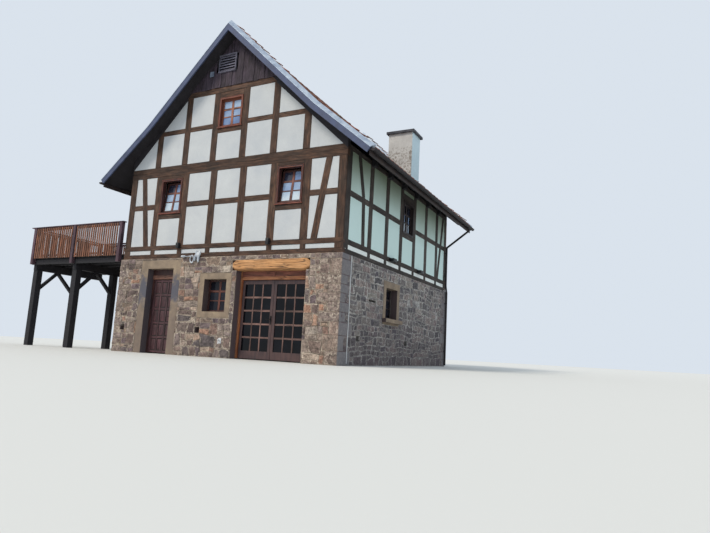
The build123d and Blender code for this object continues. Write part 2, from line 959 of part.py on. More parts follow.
def fixed_window_x(y0, y1, z0, z1, xa, xb):
    w = sash_wide
    ring = box(xa, xb, y0, y1, z0, z1) - box(xa - 1, xb + 1, y0 + w, y1 - w, z0 + w, z1 - w)
    half = glass_thick / 2
    mid = (xa + xb) / 2
    return ring, box(mid - half, mid + half, y0 + w, y1 - w, z0 + w, z1 - w)


# Doors

def door_frame(x0, x1, top, leaf_top):
    y0 = sy_front + door_recess
    y1 = y0 + frame_thick
    frame = box(x0, x1, y0, y1, slab_top, top)
    hole = box(x0 + frame_wide, x1 - frame_wide, y0 - 1, y1 + 1, slab_top - 1, leaf_top + leaf_gap)
    return frame - hole


def leaf_box(x0, x1, top):
    y1 = sy_front + door_recess + frame_thick
    return box(x0, x1, y1 - leaf_thick, y1, slab_top + leaf_gap, top)


def left_leaf():
    edge = frame_wide + leaf_gap
    return leaf_box(ldoor_x0 + edge, ldoor_x1 - edge, ldoor_leaf_top)


def glazed_leaf(x0, x1):
    y1 = sy_front + door_recess + frame_thick
    leaf = leaf_box(x0, x1, ddoor_leaf_top)
    a = x0 + pane_side
    b = x1 - pane_side
    top = ddoor_leaf_top - pane_top
    hole = box(a, b, y1 - leaf_thick - 1, y1 + 1, pane_low, top)
    mid = y1 - leaf_thick / 2
    half = glass_thick / 2
    return leaf - hole, box(a, b, mid - half, mid + half, pane_low, top)


def double_leaves():
    middle = (ddoor_x0 + ddoor_x1) / 2
    left = glazed_leaf(ddoor_x0 + frame_wide + leaf_gap, middle - meeting_gap / 2)
    right = glazed_leaf(middle + meeting_gap / 2, ddoor_x1 - frame_wide - leaf_gap)
    return left, right


def hinges(edge, way):
    # Pins on the frame and knuckles on the leaf, on the inner face of the door
    y1 = sy_front + door_recess + frame_thick
    x = edge - way * leaf_gap / 2
    y = y1 + hinge_out
    fixed = []
    moving = []
    for z in hinge_heights:
        base = z + hinge_high / 2
        barrel = Pos(x, y, base) * Cylinder(hinge_r, hinge_high)
        pin = Pos(x, y, z + hinge_high) * Cylinder(pin_r, hinge_high * 2)
        a, b = sorted((x, x - way * hinge_leaf))
        fixed.append(merge([barrel, pin, box(a, b, y1, y1 + hinge_plate, z, z + hinge_high)]))
        low = z + hinge_high + running_gap
        high = z + hinge_high * 2 - running_gap
        knuckle = Pos(x, y, (low + high) / 2) * Cylinder(hinge_r, high - low)
        a, b = sorted((x, x + way * hinge_leaf))
        ring = merge([knuckle, box(a, b, y1, y1 + hinge_plate, low, high)])
        moving.append(ring - Pos(x, y, z + hinge_high) * Cylinder(pin_r + running_gap, hinge_high * 2 + 4))
    return fixed, moving


def handle(x, way):
    # Plate, neck and lever on the outer face
    y = sy_front + door_recess + frame_thick - leaf_thick
    half = handle_plate / 2
    bar = lever_high / 2
    top = lever_low + lever_high
    pieces = [box(x - half, x + half, y - leaf_gap, y, handle_low, handle_low + handle_high)]
    pieces.append(box(x - bar, x + bar, y - lever_out, y - leaf_gap, lever_low, top))
    a = x - bar if way > 0 else x + bar - lever_long
    pieces.append(box(a, a + lever_long, y - lever_out - leaf_gap, y - lever_out + leaf_gap, lever_low, top))
    return merge(pieces)


# Deck

def deck_y(d):
    return y_front + d


joist_top = deck_top - deck_board
joist_low = joist_top - deck_joist
beam_low = joist_low - deck_beam
beam_xs = rail_posts_x[1:]
rail_top_z = deck_top + rail_high_over_deck
slat_low = joist_top - slat_drop


def deck_boards():
    # Laid boards as one plain slab
    y1 = deck_y(deck_depth - deck_rim)
    return box(deck_left, sx_left - free, deck_y(deck_rim), y1, deck_top - deck_board, deck_top)


def deck_joists():
    # Bearers run along X on the main beams, closed by a rim at the outer edge
    pieces = []
    run = deck_depth - 2 * deck_rim - deck_joist_wide
    for i in range(deck_joist_count):
        y = deck_y(deck_rim) + run * i / (deck_joist_count - 1)
        pieces.append(box(deck_left, sx_left, y, y + deck_joist_wide, joist_low, joist_top))
    x1 = sx_left - free
    end = deck_y(deck_depth)
    drop = deck_beam_end
    pieces.append(box(deck_left - deck_rim, deck_left, deck_y(0), end, joist_low, joist_top))
    pieces.append(box(deck_left, x1, deck_y(0), deck_y(deck_rim), joist_low - drop, joist_top - drop - free))
    pieces.append(box(deck_left, x1, deck_y(deck_depth - deck_rim), end, joist_low, joist_top))
    return merge(pieces)


def deck_beams():
    pieces = []
    y0 = deck_y(deck_beam_end)
    y1 = deck_y(deck_depth - deck_beam_end)
    half = deck_beam_wide / 2
    for x in beam_xs:
        pieces.append(box(x - half, x + half, y0, y1, beam_low, joist_low))
    pieces.append(box(sx_left - deck_ledger, sx_left, y0, y1, beam_low, joist_low))
    return pieces


def knee_brace(y, way, x):
    # Leans from a post face up to the main beam
    a = knee_brace_reach + knee_brace_half
    b = knee_brace_reach - knee_brace_half
    points = [(y, beam_low - a), (y + way * a, beam_low), (y + way * b, beam_low), (y, beam_low - b)]
    return plate_x(points, x - knee_brace_half, x + knee_brace_half)


def deck_trestle(x):
    # Two posts with knee braces up to the main beam
    half = deck_post / 2
    pieces = []
    for d, way in ((deck_front_row, 1), (deck_back_row, -1)):
        y = deck_y(d)
        pieces.append(box(x - half, x + half, y - half, y + half, 0, beam_low))
        pieces.append(knee_brace(y + way * half, way, x))
    return merge(pieces)


def slat_row(length):
    count = int((length - 20) / slat_pitch)
    start = (length - (count - 1) * slat_pitch) / 2
    return [start + i * slat_pitch for i in range(count)]


def railing(posts, spans, top_span, place):
    # Posts outside the rim, rails and slats between them. `place` turns a box given along
    # the panel, outwards from the rim and up into one in the house frame.
    under = rail_top_z - top_rail_thick
    pieces = []
    for t, low in posts:
        pieces.append(place(t - rail_post / 2, t + rail_post / 2, 0, rail_post, low, under))
    inner = -top_rail_lap
    outer = top_rail_wide - top_rail_lap
    pieces.append(place(top_span[0], top_span[1], inner, outer, under, rail_top_z))
    face = rail_set + rail_thick
    for a, b in spans:
        for low in (under - deck_beam_end - rail_thick, slat_low + deck_beam_end):
            pieces.append(place(a, b, rail_set, face, low, low + rail_tall))
        for s in slat_row(b - a):
            t = a + s
            half = slat_wide / 2
            slat = place(t - half, t + half, face, face + slat_thick, slat_low, under - slat_end)
            pieces.append(slat)
    return merge(pieces)


def rail_spans():
    half = rail_post / 2
    return [(rail_posts_x[i + 1] + half, rail_posts_x[i] - half) for i in range(2)]


def railing_front():
    y0 = deck_y(0)
    low = joist_low - deck_beam_end
    posts = [(x, low) for x in rail_posts_x]
    span = (deck_left - deck_beam_end, sx_left - 2 * free)
    return railing(posts, rail_spans(), span, lambda a, b, c, d, z0, z1: box(a, b, y0 - d, y0 - c, z0, z1))


def railing_end():
    x0 = deck_left - deck_rim
    y0 = deck_y(0)
    posts = [(y0 + d, joist_low) for d in end_posts]
    span = (y0 + top_rail_thick, y0 + deck_depth - top_rail_lap)
    spans = [(y0, y0 + deck_depth)]
    return railing(posts, spans, span, lambda a, b, c, d, z0, z1: box(x0 - d, x0 - c, a, b, z0, z1))


def railing_back():
    y0 = deck_y(deck_depth)
    posts = [(x, joist_low) for x in rail_posts_x]
    span = (deck_left - rail_thick, sx_left - 2 * free)
    return railing(posts, rail_spans(), span, lambda a, b, c, d, z0, z1: box(a, b, y0 + c, y0 + d, z0, z1))


# Small fittings

def wall_lamps():
    pieces = []
    wide, out, high = front_lamp
    z = sill_low + front_lamp_low
    for x in (front_posts[2], front_posts[5]):
        pieces.append(box(x - wide / 2, x + wide / 2, y_front - out, y_front, z, z + high))
    out, wide, high = side_lamp
    z = sill_low + side_lamp_low
    for d in side_lamps:
        y = y_front + d
        pieces.append(box(x_right, x_right + out, y - wide / 2, y + wide / 2, z, z + high))
    return group(pieces)


def earth_rod():
    y = y_front + rod_from_front
    return box(sx_right, sx_right + rod_size, y - rod_size / 2, y + rod_size / 2, rod_low, stone_top - free)


def wall_ornament():
    # Light-coloured fitting beside the left door: an oval loop on an arm, a spiked body, a knob
    y = sy_front
    x = ornament_x
    z = ornament_z
    pieces = [box(x - 60, x + 60, y - 14, y, z - 90, z + 90)]
    pieces.append(box(x - 22, x + 22, y - 120, y - 14, z - 22, z + 22))
    pieces.append(box(x - 250, x + 210, y - 120, y - 84, z - 18, z + 18))
    loop = extrude(Plane.XZ * (Ellipse(58, 140) - Ellipse(34, 112)), amount=36)
    pieces.append(Pos(x - 290, y - 84, z) * loop)
    pieces.append(Pos(x - 60, y - 102, z + 95) * Cone(20, 4, 170))
    pieces.append(Pos(x + 190, y - 102, z + 40) * Cone(46, 8, 230))
    pieces.append(Pos(x + 190, y - 102, z - 110) * Cylinder(46, 80))
    pieces.append(Pos(x + 60, y - 102, z - 40) * Sphere(42))
    return merge(pieces)


def wall_tap():
    # Tap and its cover low on the front wall
    y = sy_front
    pieces = [box(tap_x - 45, tap_x + 45, y - 30, y, tap_z - 20, tap_z + 120)]
    pieces.append(Pos(tap_x, y - 60, tap_z + 60) * Rot(90, 0, 0) * Cylinder(16, 70))
    pieces.append(Pos(tap_x, y - 92, tap_z + 20) * Cylinder(14, 110))
    pieces.append(Pos(tap_x, y - 92, tap_z + 84) * Cylinder(24, 18))
    return merge(pieces)


def window_nodes():
    casings = []
    sashes = []
    panes = []
    for x0, x1, z0, z1, lean in front_windows():
        casings.append(casing(x0, x1, z0, z1))
        w = casing_wide
        ring, pane = sash_pair(x0 + w, x1 - w, z0 + w, z1 - w, lean)
        sashes.append(ring)
        panes.append(pane)
    a, b = side_bay(2)
    x1 = x_right + casing_proud
    x0 = x_right - casing_deep
    z0 = side_win_low
    w = casing_wide
    outer = box(x0, x1, a, b, z0, side_win_head)
    casings.append(outer - box(x0 - 1, x1 + 1, a + w, b - w, z0 + w, side_win_head - w))
    xs = x_right - sash_set
    places = [(a + w, b - w, z0 + w, side_win_head - w, xs - sash_thick, xs)]
    xs = sx_right - side_window_set
    ya = y_front + gwin_y0
    yb = y_front + gwin_y1
    places.append((ya, yb, gwin_z0, gwin_z1, xs - fixed_side_thick, xs))
    for place in places:
        ring, pane = fixed_window_x(*place)
        sashes.append(ring)
        panes.append(pane)
    ring, pane = fixed_window_y(swin_x0, swin_x1, swin_z0, swin_z1, sy_front + front_window_set)
    sashes.append(ring)
    panes.append(pane)
    save("window_casings", group(casings))
    save("window_sashes", group(sashes))
    save("window_panes", group(panes))


def deck_door():
    a, b = side_bay(0)
    x0 = x_left + slab_top
    return box(x0, x0 + casing_deep, a, b, sill_top, side_win_head)


def door_nodes():
    edge_left = ldoor_x0 + frame_wide + leaf_gap
    fixed, moving = hinges(edge_left, 1)
    save("left_door_frame", merge([door_frame(ldoor_x0, ldoor_x1, ldoor_top, ldoor_leaf_top)] + fixed))
    save("left_door_leaf", merge([left_leaf()] + moving))
    fixed_l, moving_l = hinges(ddoor_x0 + frame_wide + leaf_gap, 1)
    fixed_r, moving_r = hinges(ddoor_x1 - frame_wide - leaf_gap, -1)
    frame = door_frame(ddoor_x0, ddoor_x1, ddoor_top, ddoor_leaf_top)
    save("double_door_frame", merge([frame] + fixed_l + fixed_r))
    (leaf_l, pane_l), (leaf_r, pane_r) = double_leaves()
    save("double_leaf_left", merge([leaf_l] + moving_l))
    save("double_leaf_right", merge([leaf_r] + moving_r))
    save("double_glass_left", pane_l)
    save("double_glass_right", pane_r)
    middle = (ddoor_x0 + ddoor_x1) / 2
    save("double_door_handle", handle(middle - handle_plate, -1))
    save("left_door_handle", handle(ldoor_x1 - frame_wide - handle_plate, -1))


def deck_nodes():
    save("deck_boards", deck_boards())
    save("deck_joists", deck_joists())
    supports = deck_beams() + [deck_trestle(x) for x in beam_xs]
    save("deck_supports", merge(supports))
    save("railing_front", railing_front())
    save("railing_end", railing_end())
    save("railing_back", railing_back())


def shell_nodes():
    save("stone_front_left", stone_front_left())
    save("stone_front_middle", stone_front_middle())
    save("stone_front_right", stone_front_right())
    save("stone_over_doors", stone_over_doors())
    save("stone_right", stone_right())
    save("stone_left", stone_left())
    save("stone_back", stone_back())
    save("door_surround", door_surround())
    save("window_surrounds", group([small_window_surround(), side_window_surround()]))
    save("timber_lintel", timber_lintel())
    inner = stone_proud + wall_thick
    ground = inner_slab(0, slab_top, stone_thick, stone_thick)
    upper = inner_slab(stone_top, sill_low, inner, inner)
    attic = inner_slab(girt_low, attic_floor_top, inner, inner)
    save("floors", group([ground, upper, attic]))


def wall_nodes():
    front = gable_frame(y_front, y_front + timber_deep, -1, front_window_bays)
    back = gable_frame(y_back - timber_deep, y_back, 1, ())
    right = side_frame(x_right - timber_deep, x_right, 3, None)
    left = side_frame(x_left, x_left + timber_deep, None, 1)
    pairs = gable_rafters(y_front, y_front + timber_deep) + gable_rafters(y_back - timber_deep, y_back)
    save("gable_rafters", group(pairs))
    save("frame_front", front)
    save("frame_back", back)
    save("frame_right", right)
    save("frame_left", left)
    y = y_front
    save("infill_front", gable_infill(y + infill_recess, y + wall_thick, front, front_window_bays, True))
    y = y_back
    save("infill_back", gable_infill(y - wall_thick, y - infill_recess, back, (), False))
    x = x_right
    save("infill_right", side_infill(x - wall_thick, x - infill_recess, right, True, False))
    x = x_left
    save("infill_left", side_infill(x + infill_recess, x + wall_thick, left, False, True))
    t = board_thick
    boards = [gable_boards(y_front - t, y_front, True), gable_boards(y_back, y_back + t, False)]
    save("gable_boards", group(boards))
    save("gable_vents", gable_vents())


def roof_nodes():
    save("roof_left", roof_cover(-1))
    save("roof_right", roof_cover(1))
    save("rafters_left", rafters(-1))
    save("rafters_right", rafters(1))
    save("beam_heads", beam_heads())
    t = barge_thick
    front = barge_pair(verge_front - t, verge_front)
    back = barge_pair(verge_back, verge_back + t)
    save("barge_boards", group([front, back]))
    front_strip = verge_strip(front, verge_front - t, verge_front)
    back_strip = verge_strip(back, verge_back + t, verge_back)
    save("verge_caps", group([front_strip, back_strip]))
    save("ridge_cap", ridge_cap())
    save("fascias", group([fascia(-1), fascia(1)]))
    save("gutters", group([gutter(-1), gutter(1)]))
    save("downpipe", downpipe())
    save("chimney", chimney())
    save("chimney_cap", chimney_cover())


shell_nodes()
wall_nodes()
roof_nodes()
window_nodes()
door_nodes()
deck_nodes()
save("deck_door", deck_door())
save("wall_lamps", wall_lamps())
save("earth_rod", earth_rod())
save("wall_ornament", wall_ornament())
save("wall_tap", wall_tap())
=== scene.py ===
import math
import random

import bmesh
import bpy
from mathutils import Matrix, Vector, noise


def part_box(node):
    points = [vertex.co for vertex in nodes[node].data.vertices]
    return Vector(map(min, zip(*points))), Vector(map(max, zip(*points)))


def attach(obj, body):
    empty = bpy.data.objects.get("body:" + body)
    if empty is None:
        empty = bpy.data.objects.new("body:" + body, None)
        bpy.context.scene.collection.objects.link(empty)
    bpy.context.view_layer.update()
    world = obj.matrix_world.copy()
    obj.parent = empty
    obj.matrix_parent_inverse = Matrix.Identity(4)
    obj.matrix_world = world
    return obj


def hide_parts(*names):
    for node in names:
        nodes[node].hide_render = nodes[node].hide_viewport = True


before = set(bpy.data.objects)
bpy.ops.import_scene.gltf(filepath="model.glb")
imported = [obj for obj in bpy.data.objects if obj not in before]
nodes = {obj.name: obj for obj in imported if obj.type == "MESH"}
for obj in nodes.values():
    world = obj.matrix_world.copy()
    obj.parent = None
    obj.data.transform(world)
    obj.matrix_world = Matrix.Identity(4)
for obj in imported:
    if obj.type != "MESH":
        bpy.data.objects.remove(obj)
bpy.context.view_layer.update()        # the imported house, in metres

print("frame loaded:", len(nodes), "CAD nodes")


# Places read from the frame

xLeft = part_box("frame_left")[0][0]        # outer faces of the timber storey
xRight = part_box("frame_right")[1][0]
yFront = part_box("frame_front")[0][1]
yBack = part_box("frame_back")[1][1]
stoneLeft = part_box("stone_back")[0][0]        # outer faces of the stone storey
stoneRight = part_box("stone_back")[1][0]
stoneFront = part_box("stone_front_left")[0][1]
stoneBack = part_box("stone_back")[1][1]
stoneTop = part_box("stone_back")[1][2]

wall = {
    "thick": 0.18, "deep": 0.14, "post": 0.24, "stub": 0.17, "bays": 7,
    "sole": (stoneTop, 2.94), "sill": (3.06, 3.20), "rail": (4.34, 4.505),
    "girt": (5.36, 5.52), "upperGirt": (5.52, 5.684), "sidePlate": (5.56, 5.70),
    "atticRail": (6.68, 6.838), "collar": (7.78, 7.99),
    "windowSill": (4.019, 4.171), "windowHead": (5.25, 5.36),
    "sideHead": (5.218, 5.45), "atticSill": (6.51, 6.654), "atticHead": (7.60, 7.78),
    "atticPitch": 1.077, "atticPost": 0.23, "sidePosts": (1.565, 2.70, 3.83, 4.97, 6.11, 7.27),
    "brace": 0.195, "braceTop": 0.405, "braceFoot": 0.748,
}
roof = {        # tile face from eave to eave, then the straight undersides of the gable rafters, as X and Z
    "face": ((-4.640, 5.340), (-2.820, 6.930), (0.0, 9.600), (3.119, 6.700), (4.822, 5.340)),
    "under": {-1: ((-3.731, 5.676), (-1.550, 7.922)), 1: ((3.969, 5.548), (0.0, 9.206))},
    "verge": ((-4.640, 5.334), (-2.820, 6.884), (0.0, 9.690), (3.119, 6.708), (4.822, 5.309)),
    "cover": 0.09, "vergeFace": yFront - 0.445, "crest": yFront - 0.333, "rear": yFront - 0.245,
}
pitch = (xRight - xLeft - wall["post"]) / wall["bays"]
frontPosts = [xLeft + wall["post"] / 2 + i * pitch for i in range(wall["bays"] + 1)]


def slopeRuns(side):        # the two straight runs of one slope, each as a point and a slope that rises with X
    points = roof["face"][:3] if side < 0 else roof["face"][2:]
    return [(a, (b[1] - a[1]) / (b[0] - a[0])) for a, b in zip(points[:-1], points[1:])]


def roofLine(x, down=0.0):        # height of a line under the tile face, square to the slope
    runs = slopeRuns(-1 if x < 0 else 1)
    return max(a[1] + slope * (x - a[0]) - down * math.hypot(1, slope) for a, slope in runs)


def underRafter(side, up=0.0):        # a point and the upward normal of the plane under one gable rafter
    (xa, za), (xb, zb) = roof["under"][side]
    along = Vector((xb - xa, 0, zb - za)).normalized()
    normal = Vector((-along.z, 0, along.x)) * (1 if along.x > 0 else -1)
    return Vector((xa, 0, za)) + normal * up, normal


# Small tools

def linear(code):        # sRGB hex to the linear colour that the shader wants
    channels = [int(code[i:i + 2], 16) / 255 for i in (1, 3, 5)]
    return (*[c / 12.92 if c <= 0.04045 else ((c + 0.055) / 1.055) ** 2.4 for c in channels], 1.0)


def addNode(tree, kind, values=None, links=None, stops=None, **settings):
    node = tree.nodes.new("ShaderNode" + kind)
    for key, value in settings.items():
        setattr(node, key, value)
    for key, value in (values or {}).items():
        node.inputs[key].default_value = value
    for key, source in (links or {}).items():
        tree.links.new(source, node.inputs[key])
    for i, (place, code) in enumerate(stops or []):
        element = node.color_ramp.elements[i] if i < 2 else node.color_ramp.elements.new(place)
        element.position = place
        element.color = linear(code)
    return node


def newMaterial(name, **values):
    material = bpy.data.materials.new(name)
    material.use_nodes = True
    tree = material.node_tree
    shader = tree.nodes["Principled BSDF"]
    for key, value in values.items():
        shader.inputs[key.replace("_", " ")].default_value = value
    return material, tree, shader


def wire(tree, source, target):
    tree.links.new(source, target)


def absorb(target, part, matrix=None):        # adds one bmesh to another and frees it
    if matrix is not None:
        bmesh.ops.transform(part, matrix=matrix, verts=part.verts)
    carrier = bpy.data.meshes.new("carrier")
    part.to_mesh(carrier)
    part.free()
    target.from_mesh(carrier)
    bpy.data.meshes.remove(carrier)


def finishPiece(name, bm, material, body="house", replaces=(), sharp=35):
    mesh = bpy.data.meshes.new(name)
    bm.to_mesh(mesh)
    bm.free()
    mesh.materials.append(material)
    mesh.shade_smooth()
    mesh.set_sharp_from_angle(angle=math.radians(sharp))
    piece = bpy.data.objects.new(name, mesh)
    bpy.context.scene.collection.objects.link(piece)
    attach(piece, body)
    if replaces:
        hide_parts(*replaces)
    return piece


def islands(bm):        # lists of vertices that hang together
    seen = set()
    groups = []
    for first in bm.verts:
        if first in seen:
            continue
        seen.add(first)
        group = [first]
        for v in group:
            for edge in v.link_edges:
                other = edge.other_vert(v)
                if other not in seen:
                    seen.add(other)
                    group.append(other)
        groups.append(group)
    return groups


def paintIslands(bm, rng):        # one random tone for each loose part
    tone = bm.verts.layers.float.get("tone") or bm.verts.layers.float.new("tone")
    for group in islands(bm):
        shade = rng.random()
        for v in group:
            v[tone] = shade


# Materials

def facing(tree, axis, low=0.6, high=0.8):        # share of the faces that look along one world axis
    normal = addNode(tree, "NewGeometry")
    parts = addNode(tree, "SeparateXYZ", None, {0: normal.outputs["True Normal"]})
    return addNode(tree, "MapRange", {"From Min": low, "From Max": high}, {"Value": parts.outputs[axis]}).outputs[0]


def tint(tree, base, share, code, strength=1.0):        # lays one colour over another
    part = addNode(tree, "Math", {1: strength}, {0: share}, operation="MULTIPLY")
    return addNode(tree, "Mix", {7: linear(code)}, {0: part.outputs[0], 6: base}, data_type="RGBA").outputs[2]


def makeTimber(name, dark, mid, pale, grey, roughness=0.82, greyShare=0.5, mottled=1.0):
    # sawn and hand-dressed oak under old dark stain: long grain, drying cracks, a little silvering
    material, tree, shader = newMaterial(name, Roughness=roughness, IOR=1.45)
    grain = addNode(tree, "Attribute", attribute_name="grain")
    tone = addNode(tree, "Attribute", attribute_name="tone")
    fibre = addNode(tree, "Mapping", {"Scale": (2.5, 42, 42)}, {"Vector": grain.outputs["Vector"]})        # 24 mm figure
    figure = addNode(tree, "TexNoise", {"Scale": 1, "Detail": 6, "Roughness": 0.65}, {"Vector": fibre.outputs[0]})
    base = addNode(tree, "ValToRGB", None, {"Fac": figure.outputs["Fac"]},
                   [(0.28, dark), (0.72, pale), (0.5, mid)])
    split = addNode(tree, "Mapping", {"Scale": (0.8, 12, 12)}, {"Vector": grain.outputs["Vector"]})        # 80 mm between cracks
    crackNoise = addNode(tree, "TexNoise", {"Scale": 1, "Detail": 2, "Roughness": 0.4}, {"Vector": split.outputs[0]})
    offset = addNode(tree, "Math", {1: 0.5}, {0: crackNoise.outputs["Fac"]}, operation="SUBTRACT")
    width = addNode(tree, "Math", None, {0: offset.outputs[0]}, operation="ABSOLUTE")
    crack = addNode(tree, "MapRange", {"From Min": 0.003, "From Max": 0.024, "To Min": 1, "To Max": 0},
                    {"Value": width.outputs[0]})
    weather = addNode(tree, "TexNoise", {"Scale": 1.7, "Detail": 4, "Roughness": 0.6}, {"Vector": grain.outputs["Vector"]})
    patch = addNode(tree, "MapRange", {"From Min": 0.45, "From Max": 0.7, "To Max": greyShare},
                    {"Value": weather.outputs["Fac"]})
    aged = addNode(tree, "Mix", {7: linear(grey)}, {0: patch.outputs[0], 6: base.outputs[0]}, data_type="RGBA")
    member = addNode(tree, "MapRange", {"To Min": 0.72, "To Max": 1.22}, {"Value": tone.outputs["Fac"]})
    smudge = addNode(tree, "Mapping", {"Scale": (3.2, 8, 8)}, {"Vector": grain.outputs["Vector"]})        # 120 by 300 mm smudges
    stain = addNode(tree, "TexNoise", {"Scale": 1, "Detail": 4, "Roughness": 0.6}, {"Vector": smudge.outputs[0]})
    mottle = addNode(tree, "MapRange", {"From Min": 0.34, "From Max": 0.66, "To Min": 1 - 0.38 * mottled, "To Max": 1 + 0.4 * mottled}, {"Value": stain.outputs["Fac"]})
    shade = addNode(tree, "Math", None, {0: member.outputs[0], 1: mottle.outputs[0]}, operation="MULTIPLY")
    toned = addNode(tree, "VectorMath", None, {0: aged.outputs[2], 1: shade.outputs[0]}, operation="MULTIPLY")
    deep = addNode(tree, "Math", {1: 0.75}, {0: crack.outputs[0]}, operation="MULTIPLY")
    cracked = addNode(tree, "Mix", {7: linear("#1b1512")}, {0: deep.outputs[0], 6: toned.outputs[0]}, data_type="RGBA")
    wire(tree, cracked.outputs[2], shader.inputs["Base Color"])
    relief = addNode(tree, "Math", {1: 0.35}, {0: figure.outputs["Fac"]}, operation="MULTIPLY")
    height = addNode(tree, "Math", None, {0: relief.outputs[0], 1: crack.outputs[0]}, operation="SUBTRACT")
    bump = addNode(tree, "Bump", {"Strength": 0.6, "Distance": 0.006}, {"Height": height.outputs[0]})
    wire(tree, bump.outputs[0], shader.inputs["Normal"])
    return material


def makeFlatWood(name, dark, pale, scale, roughness=0.6, sideDark=None):
    # planed and stained joinery on a CAD node: soft streaks along one axis, satin coat worn in places
    material, tree, shader = newMaterial(name, Roughness=roughness, IOR=1.48)
    place = addNode(tree, "TexCoord")
    fibre = addNode(tree, "Mapping", {"Scale": scale}, {"Vector": place.outputs["Object"]})
    figure = addNode(tree, "TexNoise", {"Scale": 1, "Detail": 5, "Roughness": 0.6}, {"Vector": fibre.outputs[0]})
    blotch = addNode(tree, "TexNoise", {"Scale": 3.1, "Detail": 3}, {"Vector": place.outputs["Object"]})
    both = addNode(tree, "Math", None, {0: figure.outputs["Fac"], 1: blotch.outputs["Fac"]}, operation="ADD")
    half = addNode(tree, "Math", {1: 0.5}, {0: both.outputs[0]}, operation="MULTIPLY")
    base = addNode(tree, "ValToRGB", None, {"Fac": half.outputs[0]}, [(0.36, dark), (0.64, pale)])
    colour = base.outputs[0]
    if sideDark:        # the window on the right wall is darker
        parts = addNode(tree, "SeparateXYZ", None, {0: place.outputs["Object"]})
        aside = addNode(tree, "MapRange", {"From Min": xRight - 0.3, "From Max": xRight - 0.25}, {"Value": parts.outputs["X"]})
        colour = tint(tree, colour, aside.outputs[0], sideDark, 0.9)
        attic = addNode(tree, "MapRange", {"From Min": 6.3, "From Max": 6.35}, {"Value": parts.outputs["Z"]})
        colour = tint(tree, colour, attic.outputs[0], "#844a33", 0.55)
    wire(tree, colour, shader.inputs["Base Color"])
    bump = addNode(tree, "Bump", {"Strength": 0.35, "Distance": 0.002}, {"Height": figure.outputs["Fac"]})
    wire(tree, bump.outputs[0], shader.inputs["Normal"])
    worn = addNode(tree, "MapRange", {"To Min": roughness - 0.12, "To Max": roughness + 0.15},
                   {"Value": blotch.outputs["Fac"]})
    wire(tree, worn.outputs[0], shader.inputs["Roughness"])
    return material


